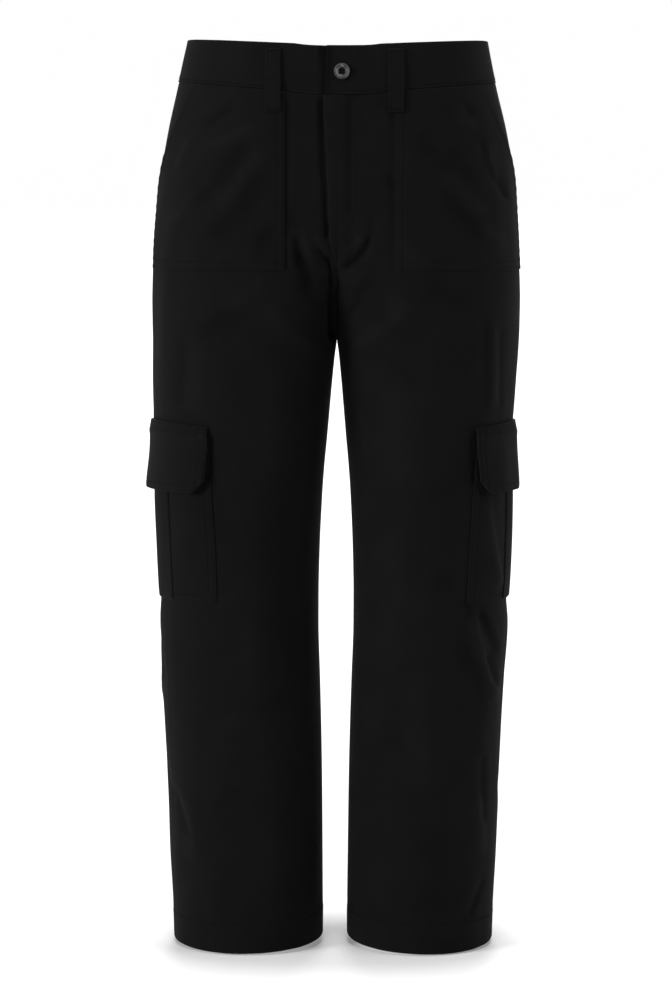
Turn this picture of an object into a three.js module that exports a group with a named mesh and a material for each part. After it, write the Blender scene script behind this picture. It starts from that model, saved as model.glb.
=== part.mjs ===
// Straight cropped cargo pants, filled out as worn, in millimetres.
// +Z is up and -Y is the front. The origin is the centre of the waist, where the wearer carries them.
// "right" and "left" are the wearer's, so the right leg is at -X.
import * as THREE from 'three';

// Cloth
const WALL = 1.6;
const HEM_WALL = 2.8;
const HEM_DEPTH = 29;
const SEAM_GAP = 0.3;
const HALF_GAP = SEAM_GAP / 2;
const LAY_GAP = 0.7;
const PATCH_WALL = 1.4;
const FLAP_WALL = 2.6;

// Heights of the main lines
const HEM_Z = -922;
const HEM_RISE = { inseam: 4, outside: 1.8, fromZ: -700 };
const CROTCH_Z = -303;
const BAND_TOP = { side: 0.9, front: -7.8, back: -1.5 };
const BAND_FOOT = { side: -42.8, front: -53.7, back: -45 };
const BAND_BLEND = 60;

// One row for each height: half width on the right and left, where the section is deepest, its depth
// there to the front and back, and where each leg's oval ends on its inner side. Above the crotch that
// end lies past the middle, so the two ovals meet at the centre seam. Below it, it is half the gap
// between the legs. The cloth is drawn in a little behind the cargo pockets.
const SECTIONS = [
  { z: 10, right: 150.2, left: 149.4, middle: 40, front: 99, back: 103, endFront: -400, endBack: -400 },
  { z: 0, right: 151.9, left: 151.1, middle: 42, front: 100, back: 104, endFront: -390, endBack: -390 },
  { z: -20, right: 156.4, left: 155, middle: 45, front: 102, back: 107, endFront: -370, endBack: -380 },
  { z: -45, right: 161.8, left: 160.3, middle: 48, front: 105, back: 112, endFront: -340, endBack: -360 },
  { z: -90, right: 171.9, left: 171.3, middle: 54, front: 109, back: 122, endFront: -290, endBack: -320 },
  { z: -125, right: 178, left: 177.5, middle: 58, front: 112, back: 129, endFront: -240, endBack: -270 },
  { z: -160, right: 182.6, left: 181.2, middle: 62, front: 113.5, back: 134, endFront: -180, endBack: -215 },
  { z: -215, right: 187, left: 184.6, middle: 70, front: 114, back: 136, endFront: -75, endBack: -115 },
  { z: -260, right: 188.2, left: 186.2, middle: 82, front: 112, back: 131, endFront: -21, endBack: -42 },
  { z: -285, right: 187.8, left: 186, middle: 89, front: 110, back: 127, endFront: -6, endBack: -15 },
  { z: -303, right: 187.4, left: 185.4, middle: 93, front: 108.5, back: 123, endFront: 0, endBack: 0 },
  { z: -338, right: 187.6, left: 183.2, middle: 94.5, front: 105, back: 117, endFront: 4.1, endBack: 4.1 },
  { z: -378, right: 187.2, left: 180.4, middle: 95.5, front: 100.5, back: 110.5, endFront: 7.6, endBack: 7.6 },
  { z: -400, right: 184.4, left: 178, middle: 96, front: 98, back: 107, endFront: 9.5, endBack: 9.5 },
  { z: -430, right: 182.4, left: 176.2, middle: 96.8, front: 95, back: 103, endFront: 12.3, endBack: 12.3 },
  { z: -460, right: 181.8, left: 175.2, middle: 97.5, front: 92, back: 99, endFront: 14.4, endBack: 14.4 },
  { z: -520, right: 180, left: 174.8, middle: 98, front: 87, back: 93, endFront: 17, endBack: 17 },
  { z: -562, right: 179.4, left: 174.6, middle: 98, front: 84.6, back: 90.2, endFront: 17.8, endBack: 17.8 },
  { z: -590, right: 180.4, left: 176.4, middle: 97.5, front: 83, back: 88, endFront: 17.8, endBack: 17.8 },
  { z: -650, right: 178.2, left: 172.6, middle: 95, front: 81, back: 85, endFront: 16, endBack: 16 },
  { z: -710, right: 174.8, left: 169.6, middle: 93, front: 79.5, back: 83, endFront: 14.4, endBack: 14.4 },
  { z: -770, right: 172.3, left: 168, middle: 91.5, front: 78.5, back: 81.5, endFront: 13.4, endBack: 13.4 },
  { z: -830, right: 170.2, left: 166, middle: 90.5, front: 78, back: 80.5, endFront: 12.9, endBack: 12.9 },
  { z: -890, right: 167, left: 162.9, middle: 89, front: 77.5, back: 80, endFront: 12.5, endBack: 12.5 },
  { z: -925, right: 165.8, left: 161.8, middle: 88, front: 80, back: 81.5, endFront: 12.7, endBack: 12.7 },
];

// Where the side seam lies, measured round the cloth forward from the outermost line of the leg
const SIDE_SEAM = [
  { z: 0, right: 9, left: 7 },
  { z: -150, right: 14, left: 10 },
  { z: -300, right: 28, left: 15 },
  { z: -390, right: 37, left: 20 },
  { z: -570, right: 37, left: 20 },
  { z: -925, right: 18, left: 12 },
];

// The fly: the left front laps over the right front down to its foot.
const FLY = { topX: -11.8, footX: -7, footZ: -197, endZ: -232, ridgeX: 14, fadeX: 24, raise: 2 };
const FLY_UNDERLAP = { x: 2, endZ: -180 };

// Waistband and the lap of its ends at the front
const BAND = { proud: 0.5, wall: 2.4, outerEndX: -11.8, innerEndX: 18, flatX: 22, fadeX: 46 };
const BAND_LAP = BAND.wall + 0.4;

// Front patch pockets
const FRONT_POCKET = {
  edgeX: { right: -52, left: 57 },
  footZ: -229,
  mouthTop: 48,
  mouthFootZ: -160,
};

// Cargo pockets, centred on the side seam
const CARGO = { half: 72, topZ: -399, footZ: -564, bulge: 1.6, fullness: 0.6 };
const PLEAT = { half: 18, footInset: 1.5 };
const FLAP = {
  half: 74, topZ: -381.5, footZ: -451.5, cutWidth: 14, cutHeight: 12, drop: 4,
  spring: { right: 4, left: 2.4 }, springFrom: 0.25, endSpring: 0.6,
};

// Belt loops: the place of each round the waist, by its distance sideways from the centre
const LOOP = { width: 15, below: 3, length: 62.5, wall: 2.2, topLift: 1, footLift: 2.7 };
const LOOPS = [
  { name: 'belt_loop_front_right', side: -1, x: 63.6, face: 1 },
  { name: 'belt_loop_front_left', side: 1, x: 57.3, face: 1 },
  { name: 'belt_loop_back_right', side: -1, x: 92, face: -1 },
  { name: 'belt_loop_back_left', side: 1, x: 92, face: -1 },
  { name: 'belt_loop_centre_back', side: 1, x: 0, face: -1 },
];

const BUTTON = {
  x: 4.1, z: -34.1, stand: 0.5, radius: 8.5, thickness: 3.2, bevel: 0.8, shoulder: 1.4, rim: 6, well: 3.6, wellDepth: 1.5,
};

// The largest folds. Each runs between two points seen from the front or back; height is out of the cloth.
const FOLDS = [
  { side: -1, face: 1, x0: -46, z0: -165, x1: -24, z1: -252, width: 8, height: -2.2 },
  { side: -1, face: 1, x0: -70, z0: -262, x1: -14, z1: -312, width: 10, height: 2 },
  { side: 1, face: 1, x0: 40, z0: -180, x1: 6, z1: -228, width: 8, height: -2 },
  { side: 1, face: 1, x0: 72, z0: -258, x1: 16, z1: -306, width: 10, height: 2 },
  { side: 1, face: 1, x0: 138, z0: -574, x1: 164, z1: -664, width: 8, height: 2.4 },
  { side: -1, face: 1, x0: -150, z0: -760, x1: -142, z1: -830, width: 8, height: 1.8 },
  { side: 1, face: 1, x0: 146, z0: -760, x1: 150, z1: -820, width: 8, height: 1.8 },
  { side: -1, face: -1, x0: -120, z0: -262, x1: -34, z1: -300, width: 11, height: -2.6 },
  { side: 1, face: -1, x0: 116, z0: -270, x1: 30, z1: -304, width: 11, height: -2.6 },
  { side: -1, face: -1, x0: -130, z0: -560, x1: -50, z1: -585, width: 12, height: -2.2 },
  { side: 1, face: -1, x0: 128, z0: -548, x1: 52, z1: -580, width: 12, height: -2.2 },
];

const COLOUR = { cloth: 0x141414, facing: 0x171717, metal: 0x4b4c4e };

const clamp01 = (t) => Math.min(1, Math.max(0, t));
const ease = (from, to, value) => {
  const t = clamp01((value - from) / (to - from));
  return t * t * (3 - 2 * t);
};
const mix = (a, b, t) => a + (b - a) * t;
const sideName = (side) => (side < 0 ? 'right' : 'left');

// A smooth curve through one column of a table whose rows go down, with no overshoot
function along(table, column, z) {
  const last = table.length - 2;
  let row = 0;
  while (row < last && z < table[row + 1].z) row += 1;
  const slope = (i) => (table[i + 1][column] - table[i][column]) / (table[i + 1].z - table[i].z);
  const tangent = (i) => {
    if (i <= 0) return slope(0);
    if (i > last) return slope(last);
    const [above, below] = [slope(i - 1), slope(i)];
    return above * below <= 0 ? 0 : (2 * above * below) / (above + below);
  };
  const [upper, lower] = [table[row], table[row + 1]];
  const span = lower.z - upper.z;
  const t = clamp01((z - upper.z) / span);
  const [t2, t3] = [t * t, t * t * t];
  return (
    (2 * t3 - 3 * t2 + 1) * upper[column] +
    (t3 - 2 * t2 + t) * span * tangent(row) +
    (3 * t2 - 2 * t3) * lower[column] +
    (t3 - t2) * span * tangent(row + 1)
  );
}

// A point of one side's section, drawn at +X. Along u, 0 is the outermost line, 1 the centre front
// or the inseam reached round the front, and -1 the same place reached round the back. Past 1 and -1
// a trunk goes on across the centre, and a leg goes on round its inseam.
function sectionPoint(side, z, u) {
  const trunk = z > CROTCH_Z;
  const past = Math.abs(u) > 1;
  const v = past ? 2 - Math.abs(u) : Math.abs(u);
  const toFront = past && !trunk ? u < 0 : u >= 0;
  const middle = along(SECTIONS, 'middle', z);
  const depth = along(SECTIONS, toFront ? 'front' : 'back', z);
  let x;
  let y;
  if (v <= 0.5) {
    const angle = v * Math.PI;
    x = middle + (along(SECTIONS, sideName(side), z) - middle) * Math.cos(angle);
    y = depth * Math.sin(angle);
  } else {
    const reach = middle - along(SECTIONS, toFront ? 'endFront' : 'endBack', z);
    const angle = ((v - 0.5) / 0.5) * Math.asin(Math.min(1, middle / reach));
    x = middle - reach * Math.sin(angle);
    y = depth * Math.cos(angle);
  }
  return new THREE.Vector3(past && trunk ? -x : x, toFront ? -y : y, z);
}

// The outward direction. At the centre seam each side keeps its own, so the valley there stays sharp.
const NORMAL_STEP = { u: 0.002, z: 0.4 };
function sectionNormal(side, z, u) {
  const limit = Math.sign(u);
  let [low, high] = [u - NORMAL_STEP.u, u + NORMAL_STEP.u];
  if (z > CROTCH_Z && Math.abs(u) <= 1) [low, high] = [Math.max(low, -1), Math.min(high, 1)];
  if (z > CROTCH_Z && u > 1) low = Math.max(low, limit);
  if (z > CROTCH_Z && u < -1) high = Math.min(high, limit);
  const du = sectionPoint(side, z, high).sub(sectionPoint(side, z, low));
  const dz = sectionPoint(side, z + NORMAL_STEP.z, u).sub(sectionPoint(side, z - NORMAL_STEP.z, u));
  return dz.cross(du).normalize();
}

// Lengths round a section, measured from the outermost line, positive to the front
const RULER_STEPS = 200;
const RULER_END = 1.3;
const rulers = new Map();
function ruler(side, z) {
  const key = `${side} ${z.toFixed(3)}`;
  if (!rulers.has(key)) {
    const marks = [];
    for (const way of [1, -1]) {
      let length = 0;
      let before = sectionPoint(side, z, 0);
      for (let i = 1; i <= RULER_STEPS; i += 1) {
        const u = (way * RULER_END * i) / RULER_STEPS;
        const here = sectionPoint(side, z, u);
        length += here.distanceTo(before);
        before = here;
        marks.push({ u, length: way * length, x: here.x });
      }
    }
    marks.push({ u: 0, length: 0, x: sectionPoint(side, z, 0).x });
    marks.sort((a, b) => a.u - b.u);
    rulers.set(key, marks);
  }
  return rulers.get(key);
}

function lookUp(marks, from, to, value) {
  const rising = marks[marks.length - 1][from] > marks[0][from];
  let i = 0;
  while (i < marks.length - 2 && (rising ? marks[i + 1][from] < value : marks[i + 1][from] > value)) i += 1;
  const [a, b] = [marks[i], marks[i + 1]];
  return mix(a[to], b[to], (value - a[from]) / (b[from] - a[from]));
}
const uAtLength = (side, z, length) => lookUp(ruler(side, z), 'length', 'u', length);
const lengthAtU = (side, z, u) => lookUp(ruler(side, z), 'u', 'length', u);
function lengthAtX(side, z, x, face) {
  const half = ruler(side, z).filter((mark) => face * mark.u >= 0);
  return lookUp(half, 'x', 'length', x);
}

const seamLength = (side, z) => along(SIDE_SEAM, sideName(side), z);

function foldHeight(side, point, normal) {
  let height = 0;
  for (const fold of FOLDS) {
    if (fold.side !== side) continue;
    const run = new THREE.Vector2(fold.x1 - fold.x0, fold.z1 - fold.z0);
    const reach = new THREE.Vector2(point.x - fold.x0, point.z - fold.z0);
    const length = run.length();
    const at = reach.dot(run) / length;
    const off = Math.abs(reach.cross(run)) / length;
    const ends = ease(-fold.width, fold.width * 1.5, at) * (1 - ease(length - fold.width * 1.5, length + fold.width, at));
    const facing = ease(0, 0.35, -fold.face * normal.y);
    height += fold.height * Math.exp(-((off / fold.width) ** 2)) * ends * facing;
  }
  return height;
}

// How far the left front stands out where it laps the right front
function flyRaise(side, point) {
  if (side < 0 || point.y > 0) return 0;
  return FLY.raise * ease(FLY.endZ, FLY.footZ, point.z) * (1 - ease(FLY.ridgeX, FLY.fadeX, point.x));
}

// A point of the cloth: side, height, place round the section, and how far it is moved out
function clothAt(side, z, u, lift, { fly = true } = {}) {
  const point = sectionPoint(side, z, u);
  const normal = sectionNormal(side, z, u);
  point.x *= side;
  normal.x *= side;
  const raise = foldHeight(side, point, normal) + (fly ? flyRaise(side, point) : 0);
  return point.addScaledVector(normal, raise + lift);
}
const clothPoint = (side, z, length, lift, options) => clothAt(side, z, uAtLength(side, z, length), lift, options);

// A closed wall of cloth from two grids of points, outer and inner
function wallGeometry(outer, inner) {
  const rows = outer.length;
  const columns = outer[0].length;
  const positions = [];
  for (const grid of [outer, inner]) {
    for (const row of grid) for (const point of row) positions.push(point.x, point.y, point.z);
  }
  const at = (face, row, column) => face * rows * columns + row * columns + column;
  const faces = [];
  const quad = (a, b, c, d) => faces.push([a, b, c], [a, c, d]);
  for (let r = 0; r < rows - 1; r += 1) {
    for (let c = 0; c < columns - 1; c += 1) {
      quad(at(0, r, c), at(0, r, c + 1), at(0, r + 1, c + 1), at(0, r + 1, c));
      quad(at(1, r, c), at(1, r + 1, c), at(1, r + 1, c + 1), at(1, r, c + 1));
    }
  }
  const rim = (list) => {
    for (let i = 0; i < list.length; i += 1) {
      const [ra, ca] = list[i];
      const [rb, cb] = list[(i + 1) % list.length];
      quad(at(0, ra, ca), at(1, ra, ca), at(1, rb, cb), at(0, rb, cb));
    }
  };
  const edge = [];
  for (let c = 0; c < columns - 1; c += 1) edge.push([0, c]);
  for (let r = 0; r < rows - 1; r += 1) edge.push([r, columns - 1]);
  for (let c = columns - 1; c > 0; c -= 1) edge.push([rows - 1, c]);
  for (let r = rows - 1; r > 0; r -= 1) edge.push([r, 0]);
  rim(edge);
  return closedGeometry(positions, faces);
}

// Faces are turned to point out, whichever side of the body the grid was made for.
function closedGeometry(positions, faces) {
  const corner = (i) => new THREE.Vector3(positions[3 * i], positions[3 * i + 1], positions[3 * i + 2]);
  let volume = 0;
  for (const [a, b, c] of faces) volume += corner(a).dot(corner(b).cross(corner(c)));
  const index = faces.flatMap(([a, b, c]) => (volume < 0 ? [a, c, b] : [a, b, c]));
  const geometry = new THREE.BufferGeometry();
  geometry.setAttribute('position', new THREE.Float32BufferAttribute(positions, 3));
  geometry.setIndex(index);
  geometry.computeVertexNormals();
  return geometry;
}

function named(name, geometry, colour, roughness, metalness) {
  const material = new THREE.MeshStandardMaterial({ color: colour, roughness, metalness });
  const mesh = new THREE.Mesh(geometry, material);
  mesh.name = name;
  return mesh;
}
const clothPiece = (name, geometry, colour = COLOUR.cloth) => named(name, geometry, colour, 0.95, 0);

// Lays a grid of cloth: place(row, column) gives a height, a place round and the two faces' lifts.
function clothGrid(side, rows, columns, place, options) {
  const grids = [[], []];
  for (let r = 0; r < rows; r += 1) {
    const line = [[], []];
    for (let c = 0; c < columns; c += 1) {
      const { z, length, u = uAtLength(side, z, length), outer, inner, keep = (point) => point } = place(r, c);
      line[0].push(keep(clothAt(side, z, u, outer, options)));
      line[1].push(keep(clothAt(side, z, u, inner, options)));
    }
    grids[0].push(line[0]);
    grids[1].push(line[1]);
  }
  return wallGeometry(grids[0], grids[1]);
}

// The waistband's edges dip to the front. Along u they go from the side's height to the centre's.
function bandLine(line, u) {
  const centre = u > 0 ? line.front : line.back;
  return mix(line.side, centre, Math.sin((u * Math.PI) / 2) ** 2);
}

// The centre front seam, where the two fronts meet
function centreSeamX(z) {
  if (z > FLY.footZ) return mix(FLY.topX, FLY.footX, ease(BAND_FOOT.front, FLY.footZ, z));
  return FLY.footX * ease(FLY.endZ, FLY.footZ, z);
}

// The hem hangs a little lower in front and behind than at the two seams.
function hemRise(level, u) {
  const [toInseam, toOutside] = [Math.abs(u) ** 3, clamp01(1 - 2 * Math.abs(u)) ** 2];
  return (HEM_RISE.inseam * toInseam + HEM_RISE.outside * toOutside) * ease(HEM_RISE.fromZ, HEM_Z, level);
}

const PANEL_HEIGHTS = [
  BAND_FOOT.side, -62, -84, -108, -134, -160, -180, FLY.footZ, -215, FLY.endZ, -250, -266, -279, -290, -298, -301.7,
  CROTCH_Z, -310, -326, -350, -382, -418, -456, -494, -532, -572, -612, -656, -702, -750, -800, -850,
  HEM_Z + HEM_DEPTH + 6, HEM_Z + HEM_DEPTH, HEM_Z,
];
const PANEL_COLUMNS = 15;

// Where a front or back ends at the centre or inseam, as a length round from the outermost line
function innerEdge(side, face, z) {
  if (z <= FLY.endZ || face < 0) return lengthAtU(side, z, face);
  if (side > 0) return lengthAtX(side, z, centreSeamX(z) + HALF_GAP, face);
  const under = ease(FLY.footZ, FLY_UNDERLAP.endZ, z);
  const edgeX = mix(centreSeamX(z) - HALF_GAP, FLY_UNDERLAP.x, under);
  return lengthAtX(side, z, -edgeX, face);
}

// Round the crotch the edge runs far in and out, and only the cloth near it follows, as a cut does.
const SEAT = { topZ: FLY.endZ, footZ: -350, power: 4 };
function columnLength(side, face, z, t) {
  const start = seamLength(side, z) + face * HALF_GAP;
  const edge = innerEdge(side, face, z);
  if (z >= SEAT.topZ || z <= SEAT.footZ) return mix(start, edge, t);
  const down = (SEAT.topZ - z) / (SEAT.topZ - SEAT.footZ);
  const rest = mix(innerEdge(side, face, SEAT.topZ), innerEdge(side, face, SEAT.footZ), down);
  return mix(start, rest, t) + (edge - rest) * t ** SEAT.power;
}

// Keeps a panel's points on its own side of the seams that lie in the middle plane and between the legs.
function ownSide(side, face, z, u) {
  return (point) => {
    if (Math.abs(u) < 0.6) return point;
    if ((z <= FLY.endZ || face < 0) && z >= CROTCH_Z) point.x = side * Math.max(side * point.x, HALF_GAP);
    if (z <= CROTCH_Z) point.y = -face * Math.max(-face * point.y, HALF_GAP);
    return point;
  };
}

function panel(side, face) {
  const place = (r, c) => {
    const level = PANEL_HEIGHTS[r];
    const t = c / (PANEL_COLUMNS - 1);
    const u = uAtLength(side, level, columnLength(side, face, level, t));
    // The rows below the band follow its slope and level out.
    const slope = bandLine(BAND_FOOT, u) - BAND_FOOT.side;
    const fall = 1 - ease(0, BAND_BLEND, BAND_FOOT.side - level);
    const z = level + slope * fall + hemRise(level, u) - (r === 0 ? SEAM_GAP : 0);
    const inner = level <= HEM_Z + HEM_DEPTH ? -HEM_WALL : -WALL;
    return { z, u, outer: 0, inner, keep: ownSide(side, face, z, u) };
  };
  return clothGrid(side, PANEL_HEIGHTS.length, PANEL_COLUMNS, place, { fly: side > 0 && face > 0 });
}

// The band's outer end lies over its inner end at the front.
const BAND_COLUMNS = 26;
const BAND_ROWS = 4;
function waistband() {
  const grids = [[], []];
  for (let r = 0; r < BAND_ROWS; r += 1) {
    const line = [[], []];
    const level = r / (BAND_ROWS - 1);
    for (const side of [1, -1]) {
      for (let c = 0; c < BAND_COLUMNS; c += 1) {
        if (side < 0 && c === 0) continue;
        const t = c / (BAND_COLUMNS - 1);
        const endX = side > 0 ? BAND.outerEndX : -BAND.innerEndX;
        const middleZ = mix(BAND_TOP.front, BAND_FOOT.front, level);
        const endU = lookUp(ruler(side, middleZ).filter((mark) => mark.u >= 0), 'x', 'u', endX);
        const u = side > 0 ? mix(endU, -1, t) : mix(-1, endU, t);
        const z = mix(bandLine(BAND_TOP, u), bandLine(BAND_FOOT, u), level);
        const point = sectionPoint(side, z, u);
        const normal = sectionNormal(side, z, u);
        const over = side > 0 && u > 0 ? BAND_LAP * (1 - ease(BAND.flatX, BAND.fadeX, point.x)) : 0;
        point.x *= side;
        normal.x *= side;
        line[0].push(point.clone().addScaledVector(normal, BAND.proud + over));
        line[1].push(point.clone().addScaledVector(normal, BAND.proud - BAND.wall + over));
      }
    }
    grids[0].push(line[0]);
    grids[1].push(line[1]);
  }
  return wallGeometry(grids[0], grids[1]);
}

// A patch pocket from the waist to below the hip, open along a slant at the side seam
const FRONT_POCKET_ROWS = 12;
const FRONT_POCKET_COLUMNS = 12;
function frontPocket(side) {
  const place = (r, c) => {
    const down = r / (FRONT_POCKET_ROWS - 1);
    const t = c / (FRONT_POCKET_COLUMNS - 1);
    const top = mix(BAND_FOOT.front, BAND_FOOT.side, t ** 2) - SEAM_GAP * 2;
    const z = mix(top, FRONT_POCKET.footZ, down);
    const mouth = ease(FRONT_POCKET.mouthFootZ, BAND_FOOT.side, z) * FRONT_POCKET.mouthTop;
    const inner = lengthAtX(side, z, side * FRONT_POCKET.edgeX[sideName(side)], 1);
    const length = mix(inner, seamLength(side, z) + 1 + mouth, t);
    return { z, length, outer: LAY_GAP + PATCH_WALL, inner: LAY_GAP };
  };
  return clothGrid(side, FRONT_POCKET_ROWS, FRONT_POCKET_COLUMNS, place);
}

// The cargo pocket lies flat at its edges and swells a little between them.
const CARGO_ROWS = 10;
const CARGO_COLUMNS = 13;
function cargoLift(z, offset) {
  const up = clamp01((z - CARGO.footZ) / (CARGO.topZ - CARGO.footZ));
  const across = clamp01(Math.abs(offset) / CARGO.half);
  return LAY_GAP + CARGO.bulge * (1 - across ** 4) * Math.sin(up * Math.PI) ** CARGO.fullness;
}
function cargoPocket(side) {
  const place = (r, c) => {
    const z = mix(CARGO.topZ, CARGO.footZ, r / (CARGO_ROWS - 1));
    const offset = mix(-CARGO.half, CARGO.half, c / (CARGO_COLUMNS - 1));
    const lift = cargoLift(z, offset);
    return { z, length: seamLength(side, z) + offset, outer: lift + PATCH_WALL, inner: lift };
  };
  return clothGrid(side, CARGO_ROWS, CARGO_COLUMNS, place);
}

const PLEAT_COLUMNS = 4;
function cargoPleat(side) {
  const place = (r, c) => {
    const z = mix(CARGO.topZ, CARGO.footZ + PLEAT.footInset, r / (CARGO_ROWS - 1));
    const offset = mix(-PLEAT.half, PLEAT.half, c / (PLEAT_COLUMNS - 1));
    const lift = cargoLift(z, offset) + PATCH_WALL + LAY_GAP / 2;
    return { z, length: seamLength(side, z) + offset, outer: lift + PATCH_WALL, inner: lift };
  };
  return clothGrid(side, CARGO_ROWS, PLEAT_COLUMNS, place);
}

// The flap is sewn on above the pocket, falls over it, springs out at its foot and has cut corners.
const FLAP_OFFSETS = [-1, -0.9, -0.81, -0.6, -0.4, -0.2, 0, 0.2, 0.4, 0.6, 0.81, 0.9, 1];
const FLAP_ROWS = 6;
function cargoFlap(side) {
  const place = (r, c) => {
    const offset = FLAP_OFFSETS[c] * FLAP.half;
    const down = r / (FLAP_ROWS - 1);
    const top = FLAP.topZ - FLAP.drop * (offset / FLAP.half) ** 2;
    const cut = FLAP.cutHeight * clamp01((Math.abs(offset) - FLAP.half + FLAP.cutWidth) / FLAP.cutWidth);
    const foot = FLAP.footZ + cut;
    const z = mix(top, foot, down);
    const below = ease(FLAP.topZ - 1, CARGO.topZ + 4, z);
    const rest = mix(LAY_GAP, cargoLift(z, offset) + 2 * PATCH_WALL + LAY_GAP, below);
    const ends = mix(1, FLAP.endSpring, Math.abs(FLAP_OFFSETS[c]) ** 3);
    const lift = rest + FLAP.spring[sideName(side)] * ease(FLAP.springFrom, 1, down) * ends;
    return { z, length: seamLength(side, z) + offset, outer: lift + FLAP_WALL, inner: lift };
  };
  return clothGrid(side, FLAP_ROWS, FLAP_OFFSETS.length, place);
}

const LOOP_ROWS = 6;
const LOOP_COLUMNS = 3;
function beltLoop({ side, x, face }) {
  const place = (r, c) => {
    const down = r / (LOOP_ROWS - 1);
    const bandTop = face > 0 ? BAND_TOP.front : BAND_TOP.back;
    const z = bandTop - LOOP.below - down * LOOP.length;
    const centre = x === 0 ? lengthAtU(side, z, face) : lengthAtX(side, z, x, face);
    const length = centre + (c / (LOOP_COLUMNS - 1) - 0.5) * LOOP.width;
    const lift = mix(LOOP.topLift, LOOP.footLift, Math.sin((down * Math.PI) / 2));
    return { z, length, outer: lift + LOOP.wall, inner: lift };
  };
  return clothGrid(side, LOOP_ROWS, LOOP_COLUMNS, place, { fly: false });
}

// A turned button with a rim round a sunk middle, standing on the band's outer end
const BUTTON_SIDES = 32;
function button() {
  const { radius, thickness, bevel, shoulder, rim, well, wellDepth } = BUTTON;
  const profile = [
    [0, 0],
    [radius - bevel, 0],
    [radius, bevel],
    [radius, thickness - bevel],
    [radius - shoulder, thickness],
    [rim, thickness - bevel / 3],
    [well, thickness - wellDepth],
    [0, thickness - wellDepth],
  ].map(([r, h]) => new THREE.Vector2(r, h));
  const geometry = new THREE.LatheGeometry(profile, BUTTON_SIDES);
  const mesh = named('waist_button', geometry, COLOUR.metal, 0.45, 0.8);
  const length = lengthAtX(1, BUTTON.z, BUTTON.x, 1);
  const lift = BAND.proud + BAND_LAP + BUTTON.stand;
  mesh.position.copy(clothPoint(1, BUTTON.z, length, lift, { fly: false }));
  const u = uAtLength(1, BUTTON.z, length);
  mesh.quaternion.setFromUnitVectors(new THREE.Vector3(0, 1, 0), sectionNormal(1, BUTTON.z, u));
  return mesh;
}

const pants = new THREE.Group();
pants.name = 'cargo_pants';
for (const side of [-1, 1]) {
  const name = sideName(side);
  pants.add(clothPiece(`front_panel_${name}`, panel(side, 1)));
  pants.add(clothPiece(`back_panel_${name}`, panel(side, -1)));
  pants.add(clothPiece(`front_pocket_${name}`, frontPocket(side), COLOUR.facing));
  pants.add(clothPiece(`cargo_pocket_${name}`, cargoPocket(side), COLOUR.facing));
  pants.add(clothPiece(`cargo_pleat_${name}`, cargoPleat(side), COLOUR.facing));
  pants.add(clothPiece(`cargo_flap_${name}`, cargoFlap(side), COLOUR.facing));
}
pants.add(clothPiece('waistband', waistband(), COLOUR.facing));
for (const loop of LOOPS) pants.add(clothPiece(loop.name, beltLoop(loop)));
pants.add(button());

export default pants;
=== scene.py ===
import math
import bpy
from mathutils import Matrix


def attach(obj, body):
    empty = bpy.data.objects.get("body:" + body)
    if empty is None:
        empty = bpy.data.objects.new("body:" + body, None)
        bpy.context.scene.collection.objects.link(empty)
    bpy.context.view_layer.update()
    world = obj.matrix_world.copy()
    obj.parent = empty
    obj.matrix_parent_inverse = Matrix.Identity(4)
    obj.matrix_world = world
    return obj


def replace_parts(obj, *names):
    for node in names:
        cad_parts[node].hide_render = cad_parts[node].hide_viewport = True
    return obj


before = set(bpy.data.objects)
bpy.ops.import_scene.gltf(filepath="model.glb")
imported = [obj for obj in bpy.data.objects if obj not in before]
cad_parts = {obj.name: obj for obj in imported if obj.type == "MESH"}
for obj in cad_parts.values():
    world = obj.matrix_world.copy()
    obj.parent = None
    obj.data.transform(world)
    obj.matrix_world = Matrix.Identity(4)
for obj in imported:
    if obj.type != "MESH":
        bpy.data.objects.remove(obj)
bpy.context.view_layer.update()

from types import SimpleNamespace

import bmesh
import bpy
import numpy as np
from bpy.props import FloatProperty, FloatVectorProperty, PointerProperty
from mathutils import Matrix, Vector

bl_info = {
    "name": "Cargo pants",
    "version": (1, 0, 0),
    "blender": (4, 5, 0),
    "location": "3D View > Sidebar > Cargo pants",
    "description": "Straight cropped cargo pants in black cotton twill, filled out as worn",
    "category": "Object",
}

# +Z is up and -Y is the front. "right" and "left" are the wearer's, so the right leg is at -X.
# Tables and sizes are written in millimetres and turned to metres where they are stated.
MM = 0.001
BODY = "root"


def named(millimetres, **plain):
    """Named values. The first group is given in millimetres and held in metres."""
    metres = {}
    for key, size in millimetres.items():
        pair = isinstance(size, dict)
        metres[key] = {side: one * MM for side, one in size.items()} if pair else size * MM
    return SimpleNamespace(**metres, **plain)


def table(columns, rows):
    """A dictionary of columns, in metres."""
    return dict(zip(columns, np.array(rows, float).T * MM))


# Cloth
SEAM_GAP = 0.3 * MM
SEAM_LAP = 0.4 * MM
LAY_GAP = 0.35 * MM
PATCH_WALL = 1.15 * MM
FLAP_WALL = 2.4 * MM
LOOP_WALL = 2.0 * MM
HEM_WALL = 2.3 * MM
HEM_DEPTH = 29 * MM

# Heights of the main lines
HEM_Z = -922 * MM
CROTCH_Z = -303 * MM
HEM_RISE = named(dict(inseam=8, outside=5.2, from_z=-700))
BAND_TOP = named(dict(side=0.5, front=-8, back=-1.5))
BAND_FOOT = named(dict(side=-41.8, front=-56, back=-45))
BAND_BLEND = 60 * MM

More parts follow.
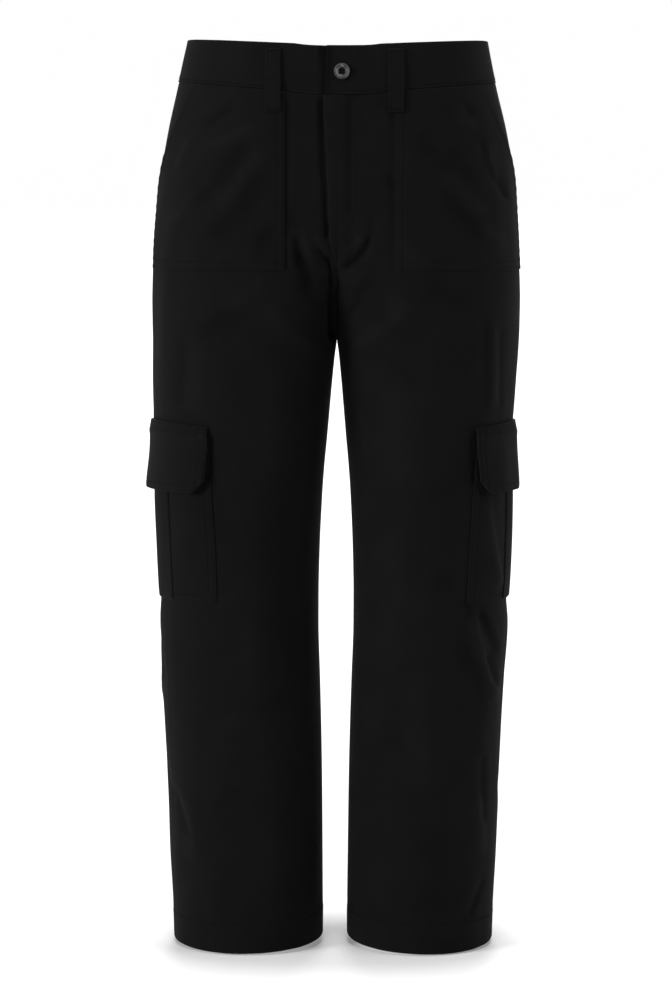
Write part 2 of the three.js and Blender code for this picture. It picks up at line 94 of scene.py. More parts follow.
# One row for each height: half width on the right and left, where the section is deepest, its depth
# there to the front and back, and where each leg's oval ends on its inner side.
SECTIONS = table(
    ("z", "right", "left", "middle", "front", "back", "end_front", "end_back"),
    [
        (10, 150.2, 149.4, 40, 99, 103, -400, -400),
        (0, 151.9, 151.1, 42, 100, 104, -390, -390),
        (-20, 156.4, 155, 45, 102, 107, -370, -380),
        (-45, 161.8, 160.3, 48, 105, 112, -340, -360),
        (-90, 171.9, 171.3, 54, 109, 122, -290, -320),
        (-125, 178, 177.5, 58, 112, 129, -240, -270),
        (-160, 182.6, 181.2, 62, 113.5, 134, -180, -215),
        (-215, 187, 184.6, 70, 114, 136, -75, -115),
        (-260, 188.2, 186.2, 82, 112, 131, -21, -42),
        (-285, 187.8, 186, 89, 110, 127, -6, -15),
        (-303, 187.4, 185.4, 93, 108.5, 123, 0, 0),
        (-338, 187.6, 183.2, 94.5, 105, 117, 4.1, 4.1),
        (-378, 187.2, 180.4, 95.5, 100.5, 110.5, 7.6, 7.6),
        (-400, 184.4, 178, 96, 98, 107, 9.5, 9.5),
        (-430, 182.4, 176.2, 96.8, 95, 103, 12.3, 12.3),
        (-460, 181.8, 175.2, 97.5, 92, 99, 14.4, 14.4),
        (-520, 180, 174.8, 98, 87, 93, 17, 17),
        (-562, 179.4, 174.6, 98, 84.6, 90.2, 17.8, 17.8),
        (-590, 180.4, 176.4, 97.5, 83, 88, 17.8, 17.8),
        (-650, 178.2, 172.6, 95, 81, 85, 16, 16),
        (-710, 174.8, 169.6, 93, 79.5, 83, 14.4, 14.4),
        (-770, 172.3, 168, 91.5, 78.5, 81.5, 13.4, 13.4),
        (-830, 170.2, 166, 90.5, 78, 80.5, 12.9, 12.9),
        (-890, 167, 162.9, 89, 77.5, 80, 12.5, 12.5),
        (-925, 165.8, 161.8, 88, 80, 81.5, 12.7, 12.7),
    ],
)

# Where the side seam lies, measured round the cloth forward from the outermost line of the leg
SIDE_SEAM = table(
    ("z", "right", "left"),
    [(0, 9, 7), (-150, 14, 10), (-300, 28, 15), (-390, 37, 20), (-570, 37, 20), (-925, 18, 12)],
)

# The fly: the left front laps over the right front down to its foot.
FLY = named(
    dict(
        top_x=-13.2, foot_x=-7.9, foot_z=-197, end_z=-232, stand=2, ridge_x=6, fade_x=15, crown=0.9,
        crown_x=-2, crown_width=7, under_x=2, under_z=-180,
    ),
)
SEAT = named(dict(foot_z=-350), top_z=FLY.end_z, power=4)
INNER_PART = 0.6
LEG_MIDDLE_X = 90 * MM
J_STITCH = named(dict(from_edge=29, turn_z=-163, foot_x=-3, above_foot=1.5, blend=6), turn_points=24)

# The band's sizes. Three of the plain values set the painted shade beside the lap's ends, deeper towards
# the band's foot.
BAND = named(
    dict(
        proud=0.5, wall=2.4, outer_end_x=-11.8, inner_end_x=18, flat_x=15, fade_x=34, lap=2.6,
        hollow=1.1, hollow_x=-12.7, hollow_width=2.3, deepest=1.5,
    ),
    dark_top=0.17, dark_foot=0.38, end_dark=0.8, foot_dip=1.7, waves=0.8, waves_end=0.95,
)
FRONT_POCKET = named(
    dict(
        width=128, height=180, behind_seam=1, edge_x={"right": -52, "left": 57}, foot_z=-229,
        mouth_top=48, mouth_foot_z=-160, gape=1.6, gape_width=14,
    ),
)
CARGO = named(
    dict(half=72, top_z=-399, foot_z=-564, bulge=2.5, top_wider={"right": 3.5, "left": 1.2}),
    fullness=0.6,
)
PLEAT = named(dict(half=18, top_wider=3, foot_inset=1.5, crown=0.7, round=1.8), sunk=0.8)
FLAP = named(
    dict(
        half=74, top_wider=5.5, foot_narrower=3.2, top_z=-381.5, foot_z=-451.5, cut_width=14,
        cut_height=12, drop=4, spring={"right": 4.2, "left": 3.3}, rest_from=1, rest_to=4, clear=1.2,
        top_drop=1.4, deepest=1.6,
    ),
    spring_from=0.25, end_spring=1.35,
)
LOOP = named(
    dict(
        width=15, below=3, length=62.5, top_lift=1, foot_lift=2.7, bow=0.5, side_drop=1.1, end_drop=1.3,
        end_round=1.6, deepest=1.5,
    ),
    wear=0.4,
)
LOOPS = {
    "belt_loop_front_right": {"side": -1, "face": 1, "x": 63.6 * MM},
    "belt_loop_front_left": {"side": 1, "face": 1, "x": 57.3 * MM},
    "belt_loop_back_right": {"side": -1, "face": -1, "x": 92 * MM},
    "belt_loop_back_left": {"side": 1, "face": -1, "x": 92 * MM},
    "belt_loop_centre_back": {"side": 1, "face": -1, "x": 0.0},
}
# One of the button's sizes sets how far out from its middle the painted shade of the sunk middle reaches.
BUTTON = named(
    dict(
        x=4.1, z=-34.1, stand=0.5, radius=7.8, thickness=3.2, well_depth=1.5, hole=0.7, hole_place=1.7,
        dark=3.8, bevel=0.3, shank=1.7, shank_in=0.1, thread_up=0.15, thread_pitch=0.3,
    ),
    shank_threads=10,
)
# From the button's edge inwards: how far each step goes in, and how far it rises
BUTTON_STEPS = np.array(
    [(0.8, 0), (0.45, -0.45), (0.5, 0), (0.75, 0.75), (1.1, 0.1), (0.6, -0.5), (0.5, -1.2)]
) * MM
BUTTONHOLE = named(dict(start_x=1, end_x=17.5, stitch=2.1, pitch=0.5, slit=0.5), end_stitches=4)

# Distances of the stitch lines from an edge
EDGE_STITCH = 1.8 * MM
INNER_STITCH = 7.8 * MM
BAND_STITCH = 2.4 * MM
LOOP_STITCH = 2.6 * MM
STITCH_DIP = named(dict(depth=0.34, width=0.6))
PUCKER = named(dict(height=0.24, length=9.5, width=3.6), drift=2.1, drift_length=3.3)
# A stitch, in thread radii: its ends' size, how far they sink, and how far its middle stands up
THREAD = {"end_size": 0.55, "end_sinks": 0.7, "stands": 0.35}
ROUND_EDGE = 1.3 * MM
TWIN = (EDGE_STITCH, INNER_STITCH)

# Bar tacks: close stitches where a seam is pulled most
FLY_TACK = named(dict(inset=0.8, up=3.6, width=7, pitch=0.55), rows=5)
FLAP_TACK = named(dict(inset=2, down=5, width=7.5, pitch=1.8), rows=5, points=4)
LOOP_TACK = named(dict(inset=1.5, top=1.6, foot=3.4, height=1.8), count=22)

# How far the rounded edges fall: at a seam, the edge of a patch, a turned fold and the hem
SEAM_DROP = named(dict(waist=0.7, outside=1.1, inside=0.8), of_wall=0.85)
PATCH_DROP = 0.9 * MM
PATCH_DEEPEST = 1.0 * MM
FOLD_DROP = 1.2 * MM
HEM_DROP = 0.9 * MM
HEM_ROUND = 1.2 * MM
BAND_ROUND = 1.4 * MM
HEM_STEP = named(dict(height=0.3, above=0.6, under=0.4))
WEAR_REACH = 2 * MM

# Mesh spacing, and how it closes in on edges and stitch lines
PATCH_STEP = 0.85
LOOP_STEP = 0.7
BAND_STEP = 0.9
PANEL_WIDTH = {1: 262 * MM, -1: 290 * MM}
FINE = np.array([0, 0.3, 0.65, 1.1, 1.8]) * MM
CLOSEST = 0.22 * MM
REGULAR_ROOM = 0.55
EDGE_ZONE = 12 * MM
NEAR_FLY = (4 * MM, 7 * MM, 10 * MM)

# Creases in millimetres, listed by side and face. Each row has x and z at the start, x and z at the end,
# how far the line bows, its width, and its height, which is above nought for a ridge. x and z are seen
# from the front (face 1) or the back (face -1). On face 0, x is the distance forward of the side seam.
# The heights also paint the cloth's colour: darker in troughs as painted shade and lighter on ridges as
# painted highlight.
CREASES = {
    # Front of the right leg
    (-1, 1): [
        (-46, -168, -41, -190, 0, 4.5, -1.1),
        (-40, -195, -35.5, -222, 0, 4.6, -3.1),
        (-36.5, -212, -27, -254, -2, 7, -3.2),
        (-48, -196, -44, -228, 0, 4, 1.2),
        (-33, -190, -25, -226, 0, 5, 1.5),
        (-20, -207, -8, -222, 0, 3, -2.6),
        (-22, -194, -13, -205, 0, 3.5, 1.2),
        (-70, -262, -14, -312, 6, 10, 2),
        (-30, -256, -12, -262, 0, 4, -1.6),
        (-15.6, -58, -12.8, -136, 0, 2.8, -3.3),
        (-12.9, -134, -9.4, -198, 0, 2.1, -3.1),
        (-8, -217, -5.8, -237, 0, 1.7, -3.8),
        (-5.9, -236, -4.2, -251, 0, 2.6, -5.8),
        (-4, -250, -2.2, -302, 0, 3.5, -8),
        (0, -246, 0, -262, 0, 1.8, -3),
        (-49.5, -64, -49.5, -228, 0, 2.6, -1.3),
        (-125, -199, -71, -132, 3, 10, -1.7),
        (-121, -146, -87, -103, -2, 8, -1.6),
        (-115, -166, -75, -114, 0, 8, 1.6),
        (-125, -108, -83, -86, 3, 7, 1.6),
        (-131, -88, -101, -66, 0, 5, -1.5),
        (-87, -217, -65, -185, 0, 8, -1.9),
        (-93, -221, -79, -201, 0, 5, 1.4),
        (-141, -164, -121, -147, 0, 5, -1.2),
        (-159, -131, -145, -97, 0, 5, 1.3),
        (-166, -186, -140, -150, 3, 6, 1.2),
        (-110, -262, -70, -236, 3, 9, 1.3),
        (-140, -300, -96, -268, -3, 10, -1.2),
        (-95, -672, -50, -656, 3, 10, -1.1),
        (-118, -690, -70, -676, -4, 9, 1),
        (-120, -768, -84, -750, -3, 9, -1.2),
        (-100, -742, -60, -728, 3, 10, 0.9),
        (-165, -757, -148, -802, 0, 4.5, -1.9),
        (-148, -764, -141, -828, 0, 7, 2.1),
        (-60, -330, -66, -430, 0, 16, 1.2),
        (-120, -400, -118, -520, 0, 14, -1),
        (-132, -300, -136, -372, 3, 9, 1.1),
        (-152, -292, -155, -366, 0, 6, -1.2),
        (-86, -560, -80, -690, 0, 15, 1.1),
        (-52, -440, -46, -640, 4, 14, -1.2),
        (-64, -780, -60, -880, 0, 14, 0.9),
        (-112, -830, -106, -900, 0, 10, -0.9),
    ],
    # Front of the left leg
    (1, 1): [
        (35.5, -176, 32, -198, 0, 3, -1.8),
        (32, -197, 6, -227, -4, 3.2, -4.8),
        (15, -206, 29, -194, 0, 5.5, 2.6),
        (6, -196, 22, -203, 0, 3.5, -1.2),
        (12, -58, 12.5, -172, 0, 3.4, -1),
        (5, -234, 28, -240, 0, 4.5, 1.2),
        (14, -256, 34, -236, 0, 6, -1.6),
        (11, -271, 24, -257, 0, 3.6, -2.2),
        (72, -258, 16, -306, -6, 10, 2),
        (-1.6, -252, -0.6, -302, 0, 2.4, -7.5),
        (0, -240, 0, -252, 0, 1.6, -3),
        (54.5, -64, 54.5, -232, 0, 2.6, -1),
        (83, -97, 114, -132, 2, 7, -1.3),
        (111, -106, 136, -143.5, 2, 7, -1.4),
        (107, -134, 144, -174, 2, 7, 2),
        (112, -155.5, 142, -195, 2, 8, -1.8),
        (140, -181, 166, -205, 2, 6, 1.6),
        (114, -82, 136, -86, 0, 5, 1.2),
        (122, -62, 136, -78, 0, 4, -1.3),
        (142.5, -100, 168, -156, 4, 3, -1.6),
        (147.5, -108, 160, -138, 3, 3, 1.8),
        (158, -128, 174, -164, 2, 2.8, -1.2),
        (47, -131, 60, -148, 0, 5, -1.5),
        (62, -196, 92, -226, 2, 7, 1.2),
        (92, -236, 128, -262, 3, 9, -1.2),
        (40, -270, 78, -300, 3, 8, -1.1),
        (44, -312, 80, -344, -3, 9, -1.1),
        (34, -330, 62, -360, 3, 8, 0.9),
        (148, -276, 149, -368, 0, 4, -1.3),
        (156, -282, 157, -360, 0, 4, 1.3),
        (164, -290, 165, -372, 0, 3, -1.1),
        (149, -458, 164, -548, 2, 5, 2.4),
        (138, -578, 164, -664, 3, 4.6, 3.2),
        (145, -570, 163, -616, 0, 4.4, -2.8),
        (152, -618, 164, -650, 0, 4, -2),
        (130, -560, 135, -577, 0, 2.6, -1.8),
        (128, -600, 150, -690, -3, 8, -1.4),
        (150, -722, 151, -790, 0, 4, -1.8),
        (145, -762, 149, -822, 0, 6, 2),
        (152, -850, 137, -886, 0, 3.5, -1.6),
        (62, -340, 66, -450, 0, 16, 1.2),
        (112, -430, 108, -560, 0, 14, -1),
        (60, -480, 66, -620, 4, 16, 1),
        (84, -640, 90, -760, 0, 16, 1.1),
        (50, -690, 78, -716, 3, 10, -0.9),
        (110, -780, 104, -880, 0, 12, -0.9),
    ],
    # Back of the right leg
    (-1, -1): [
        (-120, -262, -34, -300, 0, 9, -3),
        (-104, -288, -40, -322, 4, 8, 2),
        (-88, -222, -44, -258, 3, 8, -1.6),
        (-130, -200, -86, -236, 4, 9, 1.3),
        (-130, -560, -50, -585, 0, 10, -2.8),
        (-120, -590, -62, -612, 3, 9, 1.8),
        (-104, -530, -70, -548, 0, 8, -1.4),
        (-62, -700, -58, -800, 0, 14, 1.1),
        (-140, -640, -128, -700, 0, 8, -1.5),
        (-100, -840, -104, -890, 0, 10, -1),
        (-70, -90, -50, -150, 0, 12, 0.9),
        (-110, -380, -96, -500, 0, 14, 1),
    ],
    # Back of the left leg
    (1, -1): [
        (116, -270, 30, -304, 0, 9, -3.2),
        (100, -294, 42, -330, -4, 8, 1.9),
        (80, -214, 38, -254, -3, 8, -1.8),
        (134, -190, 92, -232, -4, 9, 1.2),
        (128, -548, 52, -580, 0, 10, -2.8),
        (118, -584, 70, -606, -3, 9, 1.7),
        (96, -520, 60, -545, 0, 8, -1.4),
        (70, -690, 64, -810, 0, 14, 1.1),
        (146, -650, 130, -716, 0, 8, -1.4),
        (108, -835, 100, -885, 0, 10, -1),
        (66, -96, 52, -150, 0, 12, 0.9),
        (104, -390, 92, -500, 0, 14, 1),
    ],
    # Outside of the right leg
    (-1, 0): [
        # The first three rows lie beside the flap's front edge and along its foot. They are shallow
        # troughs, there mostly to paint the flap's shadow through the crease shade.
        (80.6, -397, 72, -441, 0, 1.5, -1.5),
        (75.6, -418, 71.6, -441, 0, 2.0, -1.2),
        (71, -444, 59, -454, 0, 1.7, -1.6),
        (-48, -300, -30, -376, 0, 7, -1.5),
        (-66, -290, -52, -360, 0, 8, 1.2),
        (-36, -585, -10, -650, 2, 6, -1.8),
        (-62, -600, -34, -668, 0, 7, 1.5),
        (-20, -720, 4, -780, 0, 8, -1.3),
    ],
    # Outside of the left leg
    (1, 0): [
        # The first three rows lie beside the flap's front edge and along its foot. They are shallow
        # troughs, there mostly to paint the flap's shadow through the crease shade.
        (81.6, -394, 72.6, -441, 0, 1.7, -1.4),
        (77.5, -416, 72.6, -441, 0, 2.1, -1.0),
        (71.5, -444, 59, -455, 0, 1.9, -1.4),
        (-44, -310, -24, -372, 0, 7, -1.5),
        (-64, -296, -46, -362, 0, 8, 1.2),
        (-52, -580, -22, -640, 2, 6, -1.8),
        (-74, -600, -48, -660, 0, 7, 1.4),
        (-30, -700, -8, -770, 0, 8, -1.3),
    ],
}
CREASE_SKEW = 0.25
CREASE_FACING = 0.35
CREASE_END = 1.5
# How far a crease must rise or sink to paint the fullest shade or highlight into the colour, and the cap
# on that.
FULL_PAINTED_SHADE = 2.6 * MM
MOST_PAINTED_SHADE = 1.2
WAVES = named(
    dict(shortest=26, longest=96, height=0.13),
    seed=11, count=7, lean=0.16, steady=0.6, swing=0.4, stretch=1.4, end_power=8,
)


def settings():
    """The values that a user may change in the sidebar."""
    return bpy.context.scene.cargo_pants


def side_name(side):
    """The wearer's side."""
    return "right" if side < 0 else "left"


def clamp01(value):
    """A value kept between 0 and 1."""
    return np.clip(value, 0.0, 1.0)


def ease(start, stop, value):
    """A smooth step from 0 at start to 1 at stop."""
    t = clamp01((value - start) / (stop - start))
    return t * t * (3 - 2 * t)


def mix(a, b, t):
    """From a to b as t goes from 0 to 1."""
    return a + (b - a) * t


def along(rows, column, z):
    """A smooth curve through one column of a table whose rows go down, with no overshoot."""
    heights, values = rows["z"], rows[column]
    slope = np.diff(values) / np.diff(heights)
    product = slope[:-1] * slope[1:]
    total = slope[:-1] + slope[1:]
    steady = product > 0
    inner = np.where(steady, 2 * product / np.where(steady, total, 1), 0)
    tangent = np.concatenate((slope[:1], inner, slope[-1:]))
    row = np.searchsorted(-heights[1:-1], -z)
    span = heights[row + 1] - heights[row]
    t = clamp01((z - heights[row]) / span)
    t2, t3 = t * t, t * t * t
    return (
        (2 * t3 - 3 * t2 + 1) * values[row]
        + (t3 - 2 * t2 + t) * span * tangent[row]
        + (3 * t2 - 2 * t3) * values[row + 1]
        + (t3 - t2) * span * tangent[row + 1]
    )


def section(side, z, u):
    """Points of one side's section, drawn at +X. Along u, 0 is the outermost line, 1 the centre front or
    the inseam reached round the front, and -1 the same place reached round the back. Past 1 and -1 a
    trunk goes on across the centre, and a leg goes on round its inseam."""
    z, u = np.broadcast_arrays(z, u)
    trunk = z > CROTCH_Z
    past = np.abs(u) > 1
    v = np.where(past, 2 - np.abs(u), np.abs(u))
    front = np.where(past & ~trunk, u < 0, u >= 0)
    middle = along(SECTIONS, "middle", z)
    depth = np.where(front, along(SECTIONS, "front", z), along(SECTIONS, "back", z))
    reach = middle - np.where(front, along(SECTIONS, "end_front", z), along(SECTIONS, "end_back", z))
    half = along(SECTIONS, side_name(side), z)
    turn = (v - 0.5) / 0.5 * np.arcsin(np.minimum(1, middle / reach))
    outer = v <= 0.5
    x = np.where(outer, middle + (half - middle) * np.cos(v * math.pi), middle - reach * np.sin(turn))
    y = depth * np.where(outer, np.sin(v * math.pi), np.cos(turn))
    return np.stack((np.where(past & trunk, -x, x), np.where(front, -y, y), z), axis=-1)


NORMAL_STEP = named(dict(z=0.4), u=0.002)


def outward(side, z, u):
    """The outward direction. At the centre seam each side keeps its own, so the valley stays sharp."""
    z, u = np.broadcast_arrays(z, u)
    trunk = z > CROTCH_Z
    low, high = u - NORMAL_STEP.u, u + NORMAL_STEP.u
    within = trunk & (np.abs(u) <= 1)
    low = np.where(within, np.maximum(low, -1), low)
    high = np.where(within, np.minimum(high, 1), high)
    low = np.where(trunk & (u > 1), np.maximum(low, 1), low)
    high = np.where(trunk & (u < -1), np.minimum(high, -1), high)
    du = section(side, z, high) - section(side, z, low)
    dz = section(side, z + NORMAL_STEP.z, u) - section(side, z - NORMAL_STEP.z, u)
    normal = np.cross(dz, du)
    return normal / np.linalg.norm(normal, axis=-1, keepdims=True)


def look_up(grid, row, column):
    """Values between the entries of a grid, at fractional places."""
    row = np.clip(row, 0, grid.shape[0] - 1.001)
    column = np.clip(column, 0, grid.shape[1] - 1.001)
    r, c = row.astype(int), column.astype(int)
    upper = mix(grid[r, c], grid[r, c + 1], column - c)
    lower = mix(grid[r + 1, c], grid[r + 1, c + 1], column - c)
    return mix(upper, lower, row - r)


class Tape:
    """Lengths round one side's sections, from the outermost line, positive to the front."""

    STEP = 1 * MM
    LOWEST, HIGHEST = -940, 20
    FURTHEST = 430
    ACROSS = (-60, 200)
    PLACES = np.linspace(-1.3, 1.3, 521)

    def __init__(self, side):
        heights = np.arange(self.LOWEST, self.HIGHEST + 1) * MM
        points = section(side, heights[:, None], self.PLACES[None, :])
        steps = np.linalg.norm(np.diff(points, axis=1), axis=2)
        total = np.pad(np.cumsum(steps, axis=1), ((0, 0), (1, 0)))
        zero = len(self.PLACES) // 2
        self.lengths = total - total[:, zero:zero + 1]
        marks = np.arange(-self.FURTHEST, self.FURTHEST + 1) * MM
        self.places = np.array([np.interp(marks, row, self.PLACES) for row in self.lengths])
        wanted = np.arange(*self.ACROSS) * MM
        self.across = {}
        for face in (1, -1):
            x = points[:, zero:, 0] if face > 0 else points[:, zero::-1, 0]
            have = self.lengths[:, zero:] if face > 0 else self.lengths[:, zero::-1]
            falling = np.minimum.accumulate(x, axis=1)
            rows = [np.interp(-wanted, -line, row) for line, row in zip(falling, have)]
            self.across[face] = np.array(rows)

    def row(self, z):
        """The row of a height, which may fall between two rows."""
        return z / self.STEP - self.LOWEST

    def u_at_length(self, z, length):
        """The place u at a length round."""
        z, length = np.broadcast_arrays(z, length)
        return look_up(self.places, self.row(z), length / self.STEP + self.FURTHEST)

    def length_at_u(self, z, u):
        """The length round to a place u."""
        z, u = np.broadcast_arrays(z, u)
        first, last = self.PLACES[0], self.PLACES[-1]
        return look_up(self.lengths, self.row(z), (u - first) / (last - first) * (len(self.PLACES) - 1))

    def length_at_x(self, z, x, face):
        """The length round to a distance from the middle, on the front or the back."""
        z, x = np.broadcast_arrays(z, x)
        return look_up(self.across[face], self.row(z), x / self.STEP - self.ACROSS[0])


TAPES = {side: Tape(side) for side in (-1, 1)}


def seam_length(side, z):
    """Where the side seam lies, as a length round from the outermost line."""
    return along(SIDE_SEAM, side_name(side), z)


def crease_height(side, point, normal, around):
    """The creases near each point, ridges above nought and troughs below it."""
    height = np.zeros(point.shape[:-1])
    for face in (1, -1, 0):
        across = point[..., 0] if face else around
        facing = ease(0, CREASE_FACING, -face * normal[..., 1]) if face else 1.0
        for row in CREASES[side, face]:
            start_x, start_z, end_x, end_z, bend, width, rise = (value * MM for value in row)
            run_x, run_z = end_x - start_x, end_z - start_z
            length = math.hypot(run_x, run_z)
            reach_x, reach_z = across - start_x, point[..., 2] - start_z
            at = (reach_x * run_x + reach_z * run_z) / length
            share = clamp01(at / length)
            off = (reach_x * run_z - reach_z * run_x) / length - 4 * bend * share * (1 - share)
            full = CREASE_END * width
            ends = ease(-width, full, at) * (1 - ease(length - full, length + width, at))
            skewed = width * np.where(off > 0, 1 + CREASE_SKEW, 1 - CREASE_SKEW)
            height += rise * np.exp(-((off / skewed) ** 2)) * ends * facing
    return height * settings().cloth.crease_strength


def soft_waves(side, around, z):
    """The shallow unevenness of cloth that hangs, mostly up and down."""
    draw = np.random.default_rng(WAVES.seed + side)
    height = np.zeros(np.shape(around))
    for _ in range(WAVES.count):
        length = draw.uniform(WAVES.shortest, WAVES.longest)
        lean = draw.normal(0, WAVES.lean)
        phase, drift = draw.uniform(0, 2 * math.pi, 2)
        # How strongly this wave shows, swinging slowly up and down the leg.
        painted_shade_and_swing = WAVES.steady + WAVES.swing * np.sin(z / (WAVES.stretch * length) + drift)
        height += painted_shade_and_swing * np.sin(2 * math.pi * (around + lean * z) / length + phase)
    return WAVES.height * height


def fly_height(side, point):
    """How far the left front stands out where it laps the right front."""
    if side < 0:
        return 0.0
    x, z = point[..., 0], point[..., 2]
    plateau = 1 - ease(FLY.ridge_x, FLY.fade_x, x)
    crown = np.exp(-(((x - FLY.crown_x) / FLY.crown_width) ** 2))
    down = ease(FLY.end_z, FLY.foot_z, z)
    return (FLY.stand * plateau + FLY.crown * crown) * down * (point[..., 1] < 0)


def cloth(side, z, u, lift=0.0, fly=True, with_painted_shade=False):
    """Points of the cloth, moved out from its plain form by creases, the fly and a lift. On request it
    also gives the crease heights, which paint shade and highlight into the cloth's colour.
    """
    z, u = np.broadcast_arrays(z, u)
    point, normal = section(side, z, u), outward(side, z, u)
    point[..., 0] *= side
    normal[..., 0] *= side
    around = TAPES[side].length_at_u(z, u) - seam_length(side, z)
    creases = crease_height(side, point, normal, around)
    height = creases + soft_waves(side, around, z) * (1 - clamp01(np.abs(u)) ** WAVES.end_power)
    if fly:
        height = height + fly_height(side, point)
    moved = point + normal * (height + lift)[..., None]
    return (moved, creases) if with_painted_shade else moved


def graded(total, step, marks):
    """Places from 0 to total, about a step apart and closer at each mark."""
    chosen = [mark for mark in marks if 0 <= mark <= total]
    near = sorted((abs(d), mark + way * d) for mark in marks for d in FINE for way in (-1, 1))
    regular = np.linspace(0, total, max(3, round(total / step) + 1))
    for room, places in ((CLOSEST, [p for _, p in near]), (REGULAR_ROOM * step, regular)):
        for place in places:
            if 0 <= place <= total and min(abs(place - other) for other in chosen) > room:
                chosen.append(float(place))
    return np.array(sorted(chosen))


def fitted(places, nominal, width):
    """Places along a nominal width, moved to real widths with both end zones kept."""
    share = clamp01((places - EDGE_ZONE) / (nominal - 2 * EDGE_ZONE))
    ends = np.minimum(places, EDGE_ZONE) + np.maximum(places - nominal + EDGE_ZONE, 0)
    return ends + share * (width - 2 * EDGE_ZONE)


def edge_drop(distance, depth, radius=ROUND_EDGE):
    """How far a rounded edge falls below the cloth, at a distance in from it."""
    reach = clamp01(1 - distance / radius)
    return depth * (1 - np.sqrt(1 - reach**2))


def stitch_dip(distance, marks, run):
    """The dip that a row of stitches pulls in, with a slight pucker along its run."""
    dip = 0.0
    for mark in marks:
        off = distance - mark
        dip = dip + STITCH_DIP.depth * np.exp(-((off / STITCH_DIP.width) ** 2))
        drift = PUCKER.drift * np.sin(run / (PUCKER.drift_length * PUCKER.length))
        wobble = np.sin(2 * math.pi * run / PUCKER.length + drift)
        dip = dip + PUCKER.height * wobble * np.exp(-((off / PUCKER.width) ** 2))
    return dip


def new_mesh(name, points, faces, weave, wear, painted_shade_and_swing):
    """An object at the origin from points and four-sided faces, with its faces pointing out."""
    corner = points[faces]
    first = np.einsum("ij,ij->i", corner[:, 0], np.cross(corner[:, 1], corner[:, 2]))
    second = np.einsum("ij,ij->i", corner[:, 0], np.cross(corner[:, 2], corner[:, 3]))
    if first.sum() + second.sum() < 0:
        faces = faces[:, ::-1]
    mesh = bpy.data.meshes.new(name)
    mesh.vertices.add(len(points))
    mesh.vertices.foreach_set("co", points.astype(np.float32).ravel())
    mesh.loops.add(faces.size)
    mesh.loops.foreach_set("vertex_index", faces.astype(np.int32).ravel())
    mesh.polygons.add(len(faces))
    mesh.polygons.foreach_set("loop_start", np.arange(0, faces.size, 4, dtype=np.int32))
    mesh.update(calc_edges=True)
    layer = mesh.uv_layers.new(name="weave")
    layer.data.foreach_set("uv", weave[faces.ravel()].astype(np.float32).ravel())
    # Each point keeps its wear and its painted crease shade and highlight, which the material reads.
    for key, values in (("wear", wear), ("painted_shade_and_swing", painted_shade_and_swing)):
        mesh.attributes.new(key, "FLOAT", "POINT").data.foreach_set("value", values.astype(np.float32))
    return linked(name, mesh, len(faces))


def linked(name, mesh, faces):
    """An object with smooth faces from a mesh, put in the scene."""
    mesh.polygons.foreach_set("use_smooth", np.ones(faces, bool))
    obj = bpy.data.objects.new(name, mesh)
    bpy.context.collection.objects.link(obj)
    return obj


def shell(name, outer, inner, weave, wear, painted_shade_and_swing):
    """A closed wall of cloth from two grids of points."""
    rows, columns = outer.shape[:2]
    index = np.arange(rows * columns).reshape(rows, columns)
    corners = (index[:-1, :-1], index[:-1, 1:], index[1:, 1:], index[1:, :-1])
    quads = np.stack(corners, -1).reshape(-1, 4)
    rim = np.concatenate((index[0, :-1], index[:-1, -1], index[-1, :0:-1], index[:0:-1, 0]))
    onward = np.roll(rim, -1)
    inside = rows * columns
    edge = np.stack((rim, rim + inside, onward + inside, onward), -1)
    faces = np.concatenate((quads, quads[:, ::-1] + inside, edge))
    points = np.concatenate((outer.reshape(-1, 3), inner.reshape(-1, 3)))
    weave = np.tile(weave.reshape(-1, 2), (2, 1))
    wear, painted_shade_and_swing = (np.tile(np.broadcast_to(a, (rows, columns)).ravel(), 2) for a in (wear, painted_shade_and_swing))
    # The crease heights, scaled and capped, become the painted shade and highlight.
    return new_mesh(name, points, faces, weave, wear, np.clip(painted_shade_and_swing / FULL_PAINTED_SHADE, -MOST_PAINTED_SHADE, MOST_PAINTED_SHADE))


def own_side(points, side, face, z, u):
    """Keeps a panel's points on its own side of the seams in the middle plane and between the legs."""
    near = np.abs(u) >= INNER_PART
    middle = near & ((z <= FLY.end_z) | (face < 0)) & (z >= CROTCH_Z)
    between = near & (z <= CROTCH_Z)
    for axis, way, where in ((0, side, middle), (1, -face, between)):
        kept = way * np.maximum(way * points[..., axis], -SEAM_LAP)
        points[..., axis] = np.where(where, kept, points[..., axis])
    return points


def band_line(line, u):
    """The waistband's edges dip to the front. Along u they go from the side's height to the centre's."""
    turned = np.cos(u * math.pi / 2)
    front = mix(line.front, line.side, turned**4)
    return np.where(u > 0, front, mix(line.back, line.side, turned**2))


def centre_seam_x(z):
    """The centre front seam, where the two fronts meet."""
    above = mix(FLY.top_x, FLY.foot_x, ease(BAND_FOOT.front, FLY.foot_z, z))
    return np.where(z > FLY.foot_z, above, FLY.foot_x * ease(FLY.end_z, FLY.foot_z, z))


def hem_rise(level, u):
    """The hem hangs a little lower in front and behind than at the two seams."""
    rise = HEM_RISE.inseam * np.abs(u) ** 3 + HEM_RISE.outside * clamp01(1 - 2 * np.abs(u)) ** 2
    return rise * ease(HEM_RISE.from_z, HEM_Z, level)


def inner_edge(side, face, z):
    """Where a front or back ends at the centre or inseam, as a length round from the outermost line."""
    tape = TAPES[side]
    seam = tape.length_at_u(z, float(face))
    if face < 0:
        return seam
    edge_x = side * centre_seam_x(z) - SEAM_LAP
    if side < 0:
        under = ease(FLY.foot_z, FLY.under_z, z)
        edge_x = mix(edge_x, -FLY.under_x, under)
    return np.where(z <= FLY.end_z, seam, tape.length_at_x(z, edge_x, face))


